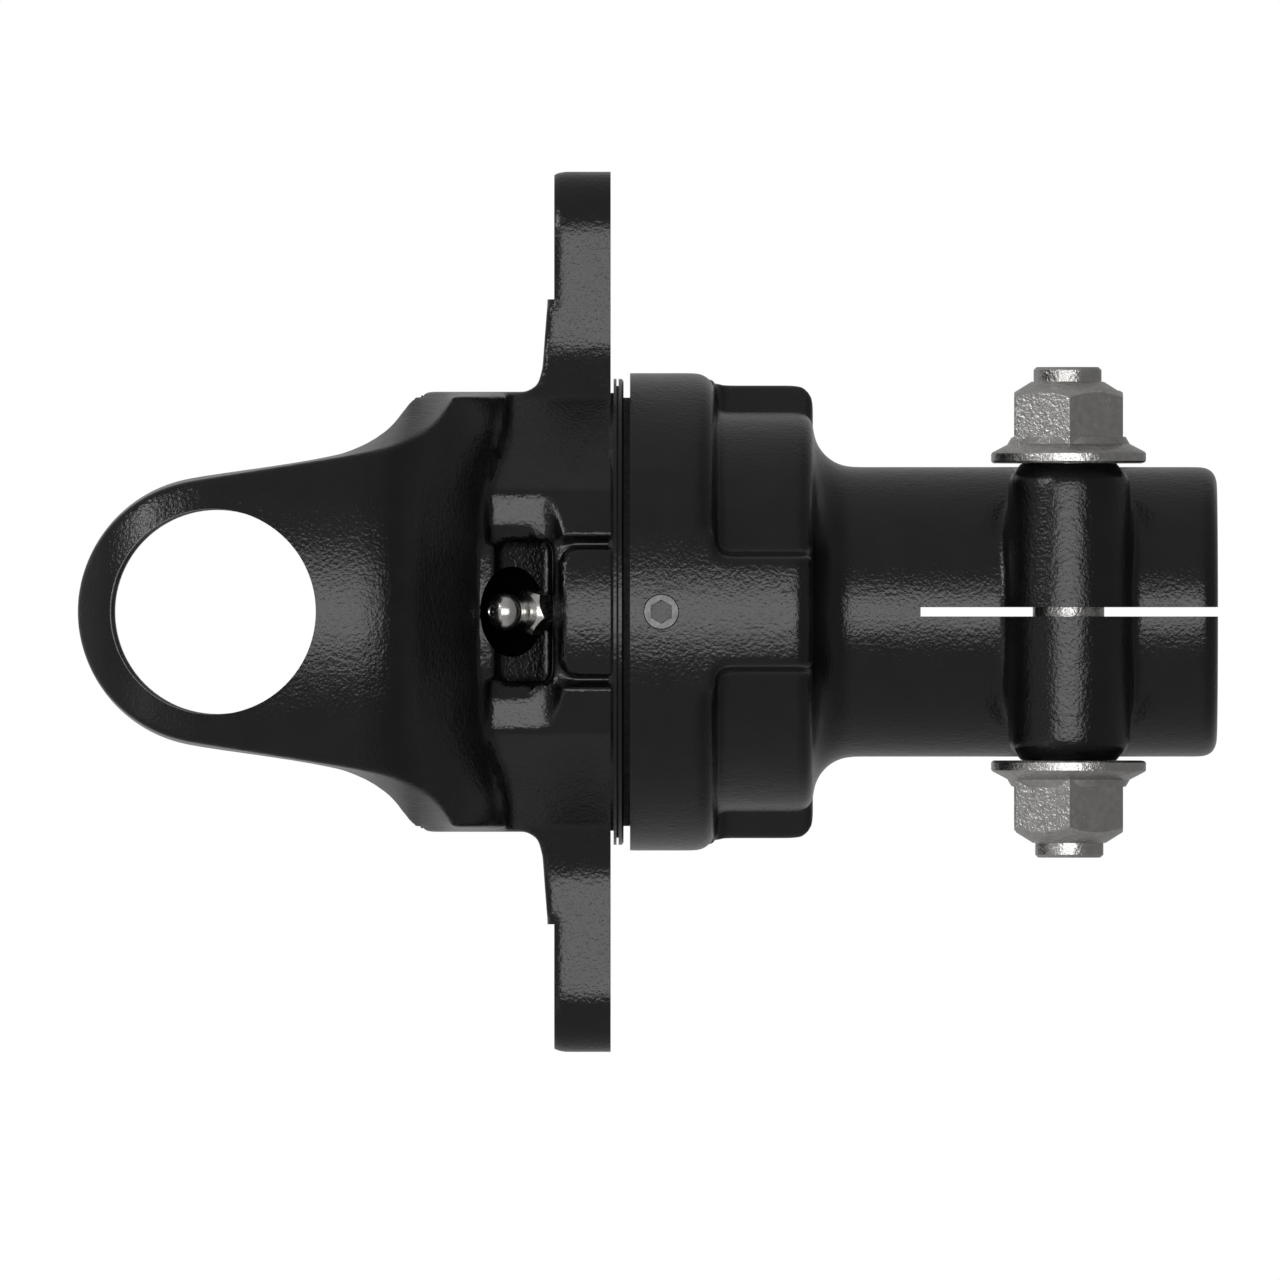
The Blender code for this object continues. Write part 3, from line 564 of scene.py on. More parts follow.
def ear_depth(x, z):
    """How far the ears' outer face is from the XZ plane at a station and a height."""
    if x > ROOT_START_X:
        stretch = ROOT_STRETCH * eased([0.0, 16.0, 35.0, 60.0], [0.0, 0.0, 1.0, 1.0], abs(z))
        root = ROOT_END_X - ROOT_START_X
        x = ROOT_START_X + (x - ROOT_START_X) * root / (root + stretch)
    radius = eased(MERIDIAN_X, MERIDIAN_RADIUS, x)
    crown = radius
    if x > EAR_HOLE_X / MM:
        flatter = eased([-200.0, -131.0, -124.0, -100.0], [1.0, 1.0, 0.35, 0.35], x)
        crown += (EAR_CROWN_RADIUS - radius) * flatter
    return radius - crown + math.sqrt(crown**2 - z * z)


def ear_sections():
    """Sections across the shaft through both ears and the round root that joins them."""
    # Half heights of the ears' outline and of their outer face, and how far out their inner face is
    outline_x = [FLANK_START_X, FLANK_END_X, -147.0, -144.6, -142.4, -140.6, -138.5]
    outline_x += [-137.3, -136.2, -135.0, -133.0, -118.0]
    outline_z = [22.95, 26.75, 27.6, 28.7, 30.1, 31.6, 34.2, 35.8, 36.8, 37.3, 37.45, 37.45]
    face_x = [FLANK_END_X, -145.5, -141.6, -138.6, -135.7, -134.0, -132.4, -130.9, -129.9, -118.0]
    face_z = [26.2, 26.9, 27.7, 28.7, 29.9, 31.2, 32.8, 35.2, 36.6, 36.6]
    inner_x = [-200.0, -150.0, -144.6, -141.6, -138.5, -137.0, -136.2, -135.6, -135.0]
    inner_x += [-132.4, -130.0, -118.0]
    inner_y = [39.0, 38.6, 36.6, 34.4, 30.9, 28.4, 26.3, 24.0, 20.0, 17.0, 12.6, 12.6]
    flank_face_start_z = 22.4
    tip_face_share = 0.975
    steps = 24
    tip = arc((EAR_HOLE_X, 0), EAR_TIP_RADIUS, 179, 100.3, steps)
    stations = [(x, z, z * tip_face_share) for x, z in tip]
    for x in np.linspace(FLANK_START_X, ROOT_END_X + ROOT_STRETCH, 92):
        if x < FLANK_END_X:
            share = (x - FLANK_START_X) / (FLANK_END_X - FLANK_START_X)
            face = flank_face_start_z + (face_z[0] - flank_face_start_z) * share
        else:
            face = eased(face_x, face_z, x)
        stations.append((x * MM, eased(outline_x, outline_z, x) * MM, face * MM))
    sections = []
    for x, outline, face in stations:
        inner = float(np.interp(x / MM, inner_x, inner_y)) * MM
        heights = [face * (2 * k / steps - 1) for k in range(steps + 1)]
        front = [(-ear_depth(x / MM, z / MM) * MM, z) for z in heights]
        half = [(-inner, -outline), *front, (-inner, outline)]
        ring = half + [(-y, -z) for y, z in half]
        sections.append([(x, y, z) for y, z in ring])
    return sections


def throat():
    """The space between the ears, with rounded corners at its bottom."""
    corner = (CROTCH_X - THROAT_CORNER, EAR_INNER_Y - THROAT_CORNER)
    upper = [(-200 * MM, EAR_INNER_Y)] + arc(corner, THROAT_CORNER, 90, 0, 20)
    return extruded("throat", mirrored(upper), -REACH, REACH, ALONG_Z)


def four_quarters(quarter):
    """A section of the base from its corners in one quarter, (y, z) from the side to the top."""
    return mirrored(quarter + [(-y, z) for y, z in reversed(quarter)])


def base_outline():
    """The base's section at the pads, with the sunk strip between them."""
    strip = (BASE_STRIP_Y, 11.8 * MM)
    pad = [(BASE_PAD_Y, 14.6 * MM), (BASE_PAD_Y, 20.4 * MM)]
    return four_quarters([strip, *pad, (12.6 * MM, BASE_HALF_HEIGHT)])


def shoulder_outline():
    """The base's section beside the key blocks, with a valley along each side of them."""
    valley = (34.4 * MM, 11.7 * MM)
    ridge = (36.7 * MM, 13.0 * MM)
    edge = (33.6 * MM, 20.3 * MM)
    return four_quarters([valley, ridge, edge, (12.3 * MM, BASE_HALF_HEIGHT - 0.2 * MM)])


def flat_end(side):
    """What the hollow curve at the right end of the front or back flat leaves free."""
    start = -130 * MM
    end = -115.2 * MM
    sweep = 3.6 * MM
    path = [(start, BASE_PAD_Y), (end, BASE_PAD_Y)]
    path += arc((end, BASE_PAD_Y + sweep), sweep, -90, 0, 8)[1:]
    path += [(end + sweep, REACH), (start, REACH)]
    return extruded("flat_end", [(x, side * y) for x, y in path], -REACH, REACH, ALONG_Z)


def key_block():
    """The crowned key blocks on the base's front and back, as one bar."""
    left = -111.6 * MM
    half = 11.0 * MM
    corner_radius = 3.0 * MM
    crown_y = 39.0 * MM
    crown_radius = 28.0 * MM
    crown = arc((crown_y - crown_radius, 0), crown_radius, -23.0, 23.0, 12)
    outline = crown + [(-y, -z) for y, z in crown]
    bar = extruded("key_block", outline, left, LUG_RIGHT_X + OVERLAP)
    corners = [(left, 0), (left, half), (LUG_RIGHT_X + 3 * MM, half)]
    trim = mirrored(filleted(corners, (corner_radius,), 6))
    return combine(bar, "INTERSECT", extruded("key_trim", trim, -REACH, REACH, XZ_PLANE))


def lug_outline(inset):
    """Both lugs across the shaft, drawn in from their full outline by the inset."""
    tip = arc((LUG_HOLE_Z, 0), LUG_HALF_WIDTH - inset, 0, 90, 16)
    corners = [(60 * MM, LUG_HALF_WIDTH), (44.5 * MM, LUG_HALF_WIDTH), (36.8 * MM, 13.4 * MM)]
    flare = filleted(corners, (14 * MM,), 8)
    flare.append((30 * MM, 8 * MM))
    right = tip + [(z, y - inset) for z, y in flare]
    half = right + [(-z, y) for z, y in reversed(right)]
    return [(y, z) for z, y in mirrored(half)]


def lug_bar():
    """Both lugs as two bars that overlap: the filleted roots and the round-edged blades."""
    edge = 2.6 * MM
    right = LUG_RIGHT_X + OVERLAP
    bar = extruded("lug_bar", lug_outline(0), LUG_LEFT_X - 6 * MM, right)
    draft = [
        (LUG_LEFT_X, 0),
        (LUG_LEFT_X, 35.5 * MM),
        (-118.2 * MM, 37.1 * MM),
        (-115.7 * MM, 38.6 * MM),
        (-114.9 * MM, 41.5 * MM),
        (LUG_LEFT_X, LUG_STEP_Z),
        (LUG_LEFT_X, LUG_TOP_Z + OVERLAP),
        (right, LUG_TOP_Z + OVERLAP),
    ]
    side = filleted(draft, (0, 0, 0.5 * MM, 1.2 * MM, 2 * MM, 0), 4)
    combine(bar, "INTERSECT", extruded("lug_side", mirrored(side), -REACH, REACH, XZ_PLANE))
    rounded = []
    steps = 6
    for i in range(steps + 1):
        angle = math.radians(90 * (1 - i / steps))
        x = LUG_LEFT_X + edge * (1 - math.sin(angle))
        rounded.append([(x, y, z) for y, z in lug_outline(edge * (1 - math.cos(angle)))])
    rounded.append([(right, y, z) for y, z in lug_outline(0)])
    core = lofted("lug_core", rounded)
    root = block("lug_root_space", (-125 * MM, -14 * MM, -52 * MM), (-100 * MM, 14 * MM, 52 * MM))
    combine(bar, "INTERSECT", root)
    return [bar, core]


def pocket_rim():
    """A raised lip along the pocket's left side, as one bar through the base."""
    radius = 39.9 * MM
    span = 16.5
    top = arc((0, 0), radius, -span, span, 12)
    return extruded("pocket_rim", top + [(-y, -z) for y, z in top], -124.8 * MM, -122.9 * MM)


def pocket():
    """The cast pocket round the grease fitting, with rounded corners."""
    low_x, high_x = -122.7 * MM, -113.2 * MM
    half = 12.2 * MM
    corner = 2.0 * MM
    corners = [(low_x, 0), (low_x, half), (high_x, half), (high_x, 0)]
    outline = mirrored(filleted(corners, (corner, corner), 5))
    made = extruded("pocket", outline, -REACH, -20.0 * MM, XZ_PLANE)
    left, right = -126 * MM, -110 * MM
    floor = [(left, -31.4 * MM), (right, -26.0 * MM), (right, -REACH), (left, -REACH)]
    return combine(made, "INTERSECT", extruded("pocket_floor", floor, -REACH, REACH, ALONG_Z))


# Centre of the grease fitting's ball head, and the way that the fitting points
FITTING_HEAD = Vector((-121.3, -34.2, 0.0)) * MM
FITTING_OUTWARD = Vector((-1, -1, 0)).normalized()


def fitting_axis():
    """Carries Z onto the grease fitting's axis and the origin to its ball head's centre."""
    turn = Vector((0, 0, 1)).rotation_difference(FITTING_OUTWARD).to_matrix().to_4x4()
    return Matrix.Translation(FITTING_HEAD) @ turn


def fitting_cut():
    """The slanted spot face round the grease fitting, and the tapped hole in it."""
    centre = Vector((-120.0, -21.5, 0)) * MM
    side = Vector((1, -1, 0)).normalized()
    radius = 7.7 * MM
    steps = 48
    circle = arc((0, 0), radius, 0, 360 - 360 / steps, steps - 1)
    disc = [centre + side * a + Vector((0, 0, b)) for a, b in circle]
    spot = lofted("spot_face", [disc, [point - Vector((0, 30 * MM, 0)) for point in disc]])
    clearance, thread, feed = 4.5 * MM, 3.25 * MM, 1.5 * MM
    profile = [
        (-0.5 * MM, 0),
        (-0.5 * MM, clearance),
        (-8.3 * MM, clearance),
        (-8.3 * MM, thread),
        (-14.2 * MM, thread),
        (-15.8 * MM, feed),
        (-36 * MM, feed),
        (-36 * MM, 0),
    ]
    hole = turned("fitting_hole", profile, fitting_axis(), PAINT_FACE, steps)
    return combine(spot, "UNION", hole)


def cross_hole():
    """The bearing cups' hole through both ears, with its snap ring grooves and chamfers."""
    groove_low, groove_high = 48.9 * MM, 50.6 * MM
    groove_depth = 0.94 * MM
    chamfer = 0.6 * MM
    radius = EAR_HOLE_RADIUS
    side = [
        (70 * MM, 0),
        (70 * MM, radius),
        (groove_high, radius),
        (groove_high, radius + groove_depth),
        (groove_low, radius + groove_depth),
        (groove_low, radius),
        (EAR_INNER_Y + chamfer, radius),
        (EAR_INNER_Y, radius + chamfer),
        (EAR_INNER_Y - 3 * MM, radius + chamfer),
    ]
    profile = side + [(-along, r) for along, r in reversed(side)]
    place = Matrix.Translation((EAR_HOLE_X, 0, 0)) @ ALONG_Y
    return turned("cross_hole", profile, place, BARE_FACE)


def spigot():
    """The turned end of the yoke: collar, shoulder, ball track, notched rotor and journal."""
    journal, journal_end = 18.65 * MM, -68.2 * MM
    rotor, rotor_end = 29.2 * MM, -73.0 * MM
    land, land_start, land_end = 30.9 * MM, -99.4 * MM, -89.4 * MM
    shoulder = 36.5 * MM
    ring_groove = COLLAR_RADIUS - 1.2 * MM
    neck = COLLAR_RADIUS - 2.4 * MM
    root, root_x = 30 * MM, -108 * MM
    drop = math.degrees(math.asin((BALL_PITCH_RADIUS - land) / TRACK_RADIUS))
    profile = [
        (journal_end, 0),
        (journal_end, journal - 0.6 * MM),
        (journal_end - 0.6 * MM, journal),
        (rotor_end, journal),
        (rotor_end, rotor - 0.4 * MM),
        (rotor_end - 0.4 * MM, rotor),
        (land_end, rotor),
        (land_end, land),
        *arc((BALL_X, BALL_PITCH_RADIUS), TRACK_RADIUS, -drop, drop - 180, 12),
        (land_start, land),
        (land_start, shoulder),
        (COLLAR_RIGHT_X, shoulder),
        (COLLAR_RIGHT_X, COLLAR_RADIUS - 0.4 * MM),
        (COLLAR_RIGHT_X - 0.3 * MM, COLLAR_RADIUS),
        (COLLAR_RIGHT_X - 0.85 * MM, COLLAR_RADIUS),
        (COLLAR_RIGHT_X - 0.85 * MM, ring_groove),
        (COLLAR_RIGHT_X - 1.2 * MM, ring_groove),
        (COLLAR_RIGHT_X - 1.2 * MM, COLLAR_RADIUS),
        (LUG_RIGHT_X + 0.5 * MM, COLLAR_RADIUS),
        (LUG_RIGHT_X + 0.5 * MM, neck),
        (LUG_RIGHT_X - 0.3 * MM, neck),
        (LUG_RIGHT_X - 0.3 * MM, root),
        (root_x, root),
        (root_x, 0),
    ]
    made = turned("spigot", profile, ALONG_X, BARE_FACE)
    # The collar is painted; its grooves and the faces in the gap beside it get the dark rubber look
    # as painted shade
    for each in made.data.polygons:
        corner = made.data.vertices[each.vertices[0]].co
        if each.center.x < COLLAR_RIGHT_X + 1.4 * MM:
            narrow = math.hypot(corner.y, corner.z) < COLLAR_RADIUS - MM
            each.material_index = GAP_SHADE_FACE if narrow else PAINT_FACE
    top, floor = 30.4 * MM, 26.75 * MM
    drive_face, ramp_foot, ramp_slope = 3.55 * MM, -1.6 * MM, 4.0 / 2.65
    ramp_end = ramp_foot - (top - floor) * ramp_slope
    notch = [(-floor, drive_face), (-top, drive_face), (-top, ramp_end), (-floor, ramp_foot)]
    cutter = extruded("notches", notch, -88.1 * MM, -71.0 * MM, ALONG_X, BARE_FACE)
    combine(made, "DIFFERENCE", around_shaft(cutter, range(0, 360, 360 // NOTCHES)))
    bore = rod("axial_bore", (-91.4 * MM, 0, 0), (-60 * MM, 0, 0), 2.5 * MM, BARE_FACE)
    feed_ends = [(-90.6 * MM, 0, z) for z in (-40 * MM, 40 * MM)]
    feed = rod("feed_bore", *feed_ends, 1.5 * MM, BARE_FACE, 24)
    return combine(made, "DIFFERENCE", bore, feed)


def make_yoke():
    """The yoke: its casting is fused and rounded, machined, and joined to its turned end."""
    ears = lofted("ears", ear_sections())
    combine(ears, "DIFFERENCE", throat())
    base = extruded("base", base_outline(), BASE_LEFT_X, LUG_RIGHT_X + OVERLAP)
    shoulder = extruded("shoulder", shoulder_outline(), SHOULDER_LEFT_X, LUG_RIGHT_X + OVERLAP)
    combine(shoulder, "DIFFERENCE", flat_end(-1), flat_end(1))
    combine(base, "UNION", ears, shoulder, key_block(), pocket_rim())
    combine(base, "DIFFERENCE", pocket())
    yoke = cast("yoke_casting", [base, *lug_bar()], SMOOTH_PASSES)
    far = 80 * MM
    cutter = block("right_face", (LUG_RIGHT_X, -far, -far), (-60 * MM, far, far))
    for side in (1, -1):
        low, high = sorted((side * LUG_STEP_Z, side * 90 * MM))
        step = block("lug_step", (-130 * MM, -20 * MM, low), (LUG_STEP_X, 20 * MM, high))
        z = side * LUG_HOLE_Z
        hole = rod("lug_hole", (-120 * MM, 0, z), (-100 * MM, 0, z), LUG_HOLE_RADIUS, BARE_FACE)
        combine(cutter, "UNION", step, hole)
    combine(cutter, "UNION", cross_hole(), fitting_cut())
    combine(yoke, "DIFFERENCE", cutter)
    combine(yoke, "UNION", spigot())
    return finish_piece(yoke, "yoke", "black_paint", "yoke_body")


# --- Hub casting


def hub_outside():
    """The hub's outside without its lobes, from its end face to beyond the ball ring."""
    beyond = HUB_MOUTH_X - 1.5 * MM
    corners = [
        (0, 0),
        (0, NECK_RADIUS),
        (LOBE_END_X, NECK_RADIUS),
        (LOBE_END_X, RECESS_RADIUS),
        (RING_RIGHT_X, RECESS_RADIUS),
        (RING_RIGHT_X, HUB_RADIUS),
        (beyond, HUB_RADIUS),
        (beyond, 0),
    ]
    radii = (2.6 * MM, NECK_FILLET, 2.8 * MM, 1.0 * MM, RING_EDGE, 0)
    return filleted(corners, radii, 10)


def lobe():
    """The front pawl lobe: drafted sides, flared into the ring, its end rounded."""
    flare, end_corner = 2.0 * MM, 0.6 * MM
    # How far from the shaft each section is, and how much wider each side is than at the top
    levels = [(RECESS_RADIUS - 4 * MM, 1.1), (RECESS_RADIUS, 0.75), (HUB_RADIUS, 0), (43 * MM, 0)]
    sections = []
    for radius, draft in levels:
        half = LOBE_HALF_WIDTH + draft * MM
        wide = half + flare + OVERLAP
        corners = [
            (RING_RIGHT_X - 4 * MM, wide),
            (RING_RIGHT_X, wide),
            (RING_RIGHT_X, half),
            (LOBE_END_X, half),
            (LOBE_END_X, 0),
        ]
        outline = mirrored(filleted(corners, (0, flare, end_corner), 6))
        sections.append([(x, -radius, z) for x, z in outline])
    body = lofted("lobe", sections)
    corners = [(-95 * MM, 0), (-95 * MM, HUB_RADIUS), (LOBE_END_X, HUB_RADIUS), (LOBE_END_X, 0)]
    trim = turned("lobe_trim", filleted(corners, (0, RING_EDGE), 8))
    return combine(body, "INTERSECT", trim)


def boss(side):
    """One clamp boss, drafted from the split plane to a narrowed top under each seat."""
    top = [(27 * MM, 0), (27 * MM, 7.0 * MM), (25.2 * MM, 8.0 * MM), (22.9 * MM, 10.3 * MM)]
    profile = [*top, (0, 11.5 * MM)] + [(-z, radius) for z, radius in reversed(top)]
    place = Matrix.Translation((BOLT_X, side * BOLT_Y, 0))
    return turned("boss", profile, place)


def cup():
    """The stepped bore for the spigot, and the faced mouth of the ball ring."""
    disc_seat, bush_seat, rotor_room, bore, mouth = (r * MM for r in (18.1, 21.1, 29.5, 31.2, 36.9))
    disc_x, bush_x, rotor_x, bore_x, mouth_x = (x * MM for x in (-65.9, -67.8, -71.6, -89.0, -97.9))
    lift = math.degrees(math.asin((bore - BALL_PITCH_RADIUS) / TRACK_RADIUS))
    profile = [
        (disc_x, 0),
        (disc_x, disc_seat),
        (bush_x, disc_seat),
        (bush_x, bush_seat),
        (rotor_x, bush_seat),
        (rotor_x, rotor_room),
        (bore_x, rotor_room),
        (bore_x, bore),
        *arc((BALL_X, BALL_PITCH_RADIUS), TRACK_RADIUS, lift, 180 - lift, 12),
        (mouth_x, bore),
        (mouth_x, mouth),
        (HUB_MOUTH_X + 0.5 * MM, mouth),
        (HUB_MOUTH_X, mouth + 0.4 * MM),
        (HUB_MOUTH_X, REACH),
        (HUB_MOUTH_X - 6 * MM, REACH),
        (HUB_MOUTH_X - 6 * MM, 0),
    ]
    made = turned("cup", profile, ALONG_X, BARE_FACE)
    for each in made.data.polygons:
        if each.center.x < mouth_x + 0.4 * MM:
            each.material_index = PAINT_FACE
    return made


def spline_bore():
    """The bore for a six-spline shaft."""
    major, minor, width = 17.49 * MM, 14.9 * MM, 8.71 * MM
    outer = math.degrees(math.asin(width / 2 / major))
    inner = math.degrees(math.asin(width / 2 / minor))
    outline = []
    for middle in range(0, 360, 60):
        outline += arc((0, 0), major, middle - outer, middle + outer, 6)
        outline += arc((0, 0), minor, middle + inner, middle + 60 - inner, 6)
    return extruded("spline_bore", outline, -68.9 * MM, 3 * MM, ALONG_X, BARE_FACE)


def pawl_pockets():
    """The pockets that the pawls slide in, open to the spigot."""
    half = 6.1 * MM
    roof, bottom = -38 * MM, -23.5 * MM
    outline = [(roof, -half), (bottom, -half), (bottom, half), (roof, half)]
    pocket_space = extruded("pawl_pocket", outline, -87.5 * MM, -73.5 * MM, ALONG_X, BARE_FACE)
    return around_shaft(pocket_space, PAWL_ANGLES)


def make_hub():
    """The hub: its casting is fused and rounded, then bored, slit and spot-faced."""
    body = turned("hub_blank", hub_outside())
    lobes = around_shaft(lobe(), PAWL_ANGLES)
    hub = cast("hub_casting", [body, lobes, boss(-1), boss(1)], SMOOTH_PASSES * 2)
    cutter = cup()
    mouth = [(1 * MM, 0), (1 * MM, 18.7 * MM), (-3.2 * MM, 14.5 * MM), (-3.2 * MM, 0)]
    combine(cutter, "UNION", spline_bore(), turned("mouth", mouth, ALONG_X, BARE_FACE))
    slit = block("slit", (SLIT_END_X, -REACH, -SLIT_HALF), (MM, REACH, SLIT_HALF), BARE_FACE)
    plug_hole = rod("plug_hole", (BALL_X, -30 * MM, 0), (BALL_X, -REACH, 0), 3.05 * MM)
    combine(cutter, "UNION", pawl_pockets(), slit, plug_hole)
    for side in (-1, 1):
        y = side * BOLT_Y
        cuts = [rod("bolt_hole", (BOLT_X, y, -30 * MM), (BOLT_X, y, 30 * MM), 6.3 * MM, BARE_FACE)]
        for up in (1, -1):
            seat, clear = (BOLT_X, y, up * BOSS_SEAT_Z), (BOLT_X, y, up * 40 * MM)
            cuts.append(rod("seat", seat, clear, 13.6 * MM))
        combine(cutter, "UNION", *cuts)
    combine(hub, "DIFFERENCE", cutter)
    return finish_piece(hub, "hub", "black_paint", "hub_body")


# --- Fasteners, fitting, plug and balls

# Places along a clamp bolt are measured from the split plane
HEX_ACROSS_FLATS = 18.2 * MM
THREAD_PITCH = 1.75 * MM
THREAD_DEPTH = 0.9 * MM
THREAD_START = 12 * MM
THREAD_END = 38.6 * MM
BOLT_RADIUS = 6.0 * MM
BOLT_TIP = 41.8 * MM
HEAD_TOP = 37.6 * MM
NUT_TOP = 39.3 * MM
FLANGE_SEAT = 25.35 * MM
HEX_FOOT = 28.2 * MM


def hexagon(name, low, high, across, start):
    """A hexagonal bar along Z, with its first corner at the start angle in degrees."""
    corner = across / 2 / math.cos(math.radians(30))
    return extruded(name, arc((0, 0), corner, start, start + 300, 5), low, high, ALONG_Z)


def crowned_hexagon(top, flat):
    """The hexagon of a bolt head or a nut, chamfered down to a flat of the given radius."""
    made = hexagon("hexagon", HEX_FOOT - 1.5 * MM, top, HEX_ACROSS_FLATS, 90)
    outer = HEX_ACROSS_FLATS / 2 / math.cos(math.radians(30)) + MM
    slope = math.tan(math.radians(32))
    crown = [
        (HEX_FOOT - 2 * MM, 0),
        (HEX_FOOT - 2 * MM, outer),
        (top - (outer - flat) * slope, outer),
        (top, flat),
        (top, 0),
    ]
    return combine(made, "INTERSECT", turned("crown", crown, ALONG_Z))


def dished_head():
    """The bolt head's hexagon, with the shallow dish of a forged head in its end."""
    made = crowned_hexagon(HEAD_TOP, 8.6 * MM)
    low, high = HEAD_TOP - 0.7 * MM, HEAD_TOP + MM
    dish = [(low, 0), (low, 4.4 * MM), (high, 6.6 * MM), (high, 0)]
    return combine(made, "DIFFERENCE", turned("dish", dish, ALONG_Z))


def bolt_point():
    """The plain, chamfered point past the end of the thread."""
    radius = 5.8 * MM
    chamfer = 0.5 * MM
    profile = [(36 * MM, 0), (36 * MM, radius)]
    profile += [(BOLT_TIP - chamfer, radius), (BOLT_TIP, radius - chamfer), (BOLT_TIP, 0)]
    return turned("point", profile, ALONG_Z, steps=48)


def flange():
    """The washer face and cone under the hexagon."""
    bore, rim = 6.4 * MM, 13.05 * MM
    profile = [
        (FLANGE_SEAT, bore),
        (FLANGE_SEAT, rim - 0.35 * MM),
        (FLANGE_SEAT + 0.3 * MM, rim),
        (FLANGE_SEAT + 1.6 * MM, rim),
        (FLANGE_SEAT + 1.9 * MM, rim - 0.25 * MM),
        (FLANGE_SEAT + 3.2 * MM, 10.3 * MM),
        (FLANGE_SEAT + 4.4 * MM, 9.6 * MM),
        (FLANGE_SEAT + 4.4 * MM, bore),
    ]
    return turned("flange", profile, ALONG_Z, closed=True)


def screw_thread(low, high, radius, depth):
    """A rod with a helical thread that runs out at its upper end into a chamfer."""
    steps = 72
    rows_a_pitch = 8
    chamfer, chamfer_slope = 1.1 * MM, 1.1
    # The flank's height in depths, and the share of the depth that the flat crest cuts off
    flank, crest = 1.25, 0.12
    rows = int((high - low) / (THREAD_PITCH / rows_a_pitch)) + 1
    bm = bmesh.new()
    rings = []
    for row in range(rows + 1):
        z = low + (high - low) * row / rows
        limit = min(radius, radius - chamfer + (high - z) * chamfer_slope)
        ring = []
        for k in range(steps):
            phase = (z / THREAD_PITCH - k / steps) % 1
            tooth = abs(2 * phase - 1)
            away = min(radius - depth * min(1, max(0, flank * tooth - crest)), limit)
            angle = math.tau * k / steps
            ring.append(bm.verts.new((away * math.cos(angle), away * math.sin(angle), z)))
        rings.append(ring)
    for lower, upper in zip(rings, rings[1:]):
        for k in range(steps):
            j = (k + 1) % steps
            bm.faces.new((lower[k], lower[j], upper[j], upper[k]))
    bm.faces.new(rings[0])
    bm.faces.new(rings[-1])
    return solid("thread", bm)


def gathered(name, solids, material, place):
    """Shells that lie against or inside one another, as one piece with one material."""
    bm = bmesh.new()
    for each in solids:
        bm.from_mesh(each.data)
    discard(*solids)
    mesh = bpy.data.meshes.new(name)
    bm.to_mesh(mesh)
    bm.free()
    mesh.polygons.foreach_set("material_index", [0] * len(mesh.polygons))
    mesh.materials.append(material)
    mesh.transform(place)
    return new_object(name, mesh)


def make_clamp_bolt(where, side, up):
    """A flange bolt and its flange nut. The bolt's head is at the top if up is 1."""
    sharp = 24
    flip = Matrix.Rotation(math.pi, 4, "X")
    place = Matrix.Translation((BOLT_X, side * BOLT_Y, 0))
    if up < 0:
        place = place @ flip
    shank = rod("shank", (0, 0, -THREAD_START), (0, 0, HEX_FOOT), BOLT_RADIUS - 0.05 * MM)
    thread = moved(screw_thread(THREAD_START, THREAD_END, BOLT_RADIUS, THREAD_DEPTH), flip)
    head = [dished_head(), flange(), shank, thread, moved(bolt_point(), flip)]
    bolt = gathered(f"flange_bolt_{where}", head, zinc_plate, place)
    finish_piece(bolt, "hub", "zinc_plate", f"clamp_bolt_{where}", sharp=sharp)
    nut_solids = [crowned_hexagon(NUT_TOP, 6.2 * MM), flange()]
    nut = gathered(f"flange_nut_{where}", nut_solids, zinc_plate, place @ flip)
    finish_piece(nut, "hub", "zinc_plate", f"clamp_nut_{where}", sharp=sharp)


def make_grease_fitting():
    """The nipple: threaded stem, hexagon, waist and ball head with its mouth."""
    head = 3.2 * MM
    angles = [math.radians(a) for a in range(58, -49, -6)]
    bulge = [(head * math.sin(a), head * math.cos(a)) for a in angles]
    duct, spring_room, spring_floor = 0.9 * MM, 1.4 * MM, -7.6 * MM
    hex_low, hex_high = -8.0 * MM, -4.6 * MM
    outside = [
        (1.9 * MM, 0.75 * MM),
        (2.75 * MM, 0.85 * MM),
        (2.9 * MM, 1.0 * MM),
        *bulge,
        (-3.3 * MM, 1.85 * MM),
        (-4.2 * MM, 2.0 * MM),
        (hex_high, 3.1 * MM),
        (-7.9 * MM, 3.0 * MM),
        (-13.4 * MM, 2.9 * MM),
        (-13.6 * MM, duct),
        (spring_floor, duct),
        (spring_floor, spring_room),
        (1.2 * MM, spring_room),
    ]
    body = turned("fitting_body", outside, ALONG_Z, steps=64, closed=True)
    nut = hexagon("fitting_hexagon", hex_low, hex_high, 7.0 * MM, 0)
    crown = [
        (-9 * MM, 0),
        (-9 * MM, 4.3 * MM),
        (-5.9 * MM, 4.3 * MM),
        (hex_high, 3.0 * MM),
        (hex_high, 0),
    ]
    combine(nut, "INTERSECT", turned("fitting_crown", crown, ALONG_Z))
    combine(nut, "DIFFERENCE", rod("fitting_bore", (0, 0, -10 * MM), (0, 0, 0), 2.6 * MM))
    made = gathered("grease_nipple", [body, nut], nickel_plate, fitting_axis())
    return finish_piece(made, "yoke", "nickel_plate", "grease_fitting", sharp=35)


def compression_spring(name, low, high, coil_radius, wire_radius, turns, place):
    """A wound spring along the placed Z axis, with a closed turn at each end."""
    steps = 24
    sections = []
    for i in range(turns * steps + 1):
        share = i / (turns * steps)
        angle = math.tau * i / steps
        rise = low + wire_radius + (high - low - 2 * wire_radius) * (3 * share**2 - 2 * share**3)
        section = []
        for across, up in arc((coil_radius, rise), wire_radius, 0, 330, 11):
            section.append((across * math.cos(angle), across * math.sin(angle), up))
        sections.append(section)
    return gathered(name, [lofted("wire", sections)], spring_steel, place)


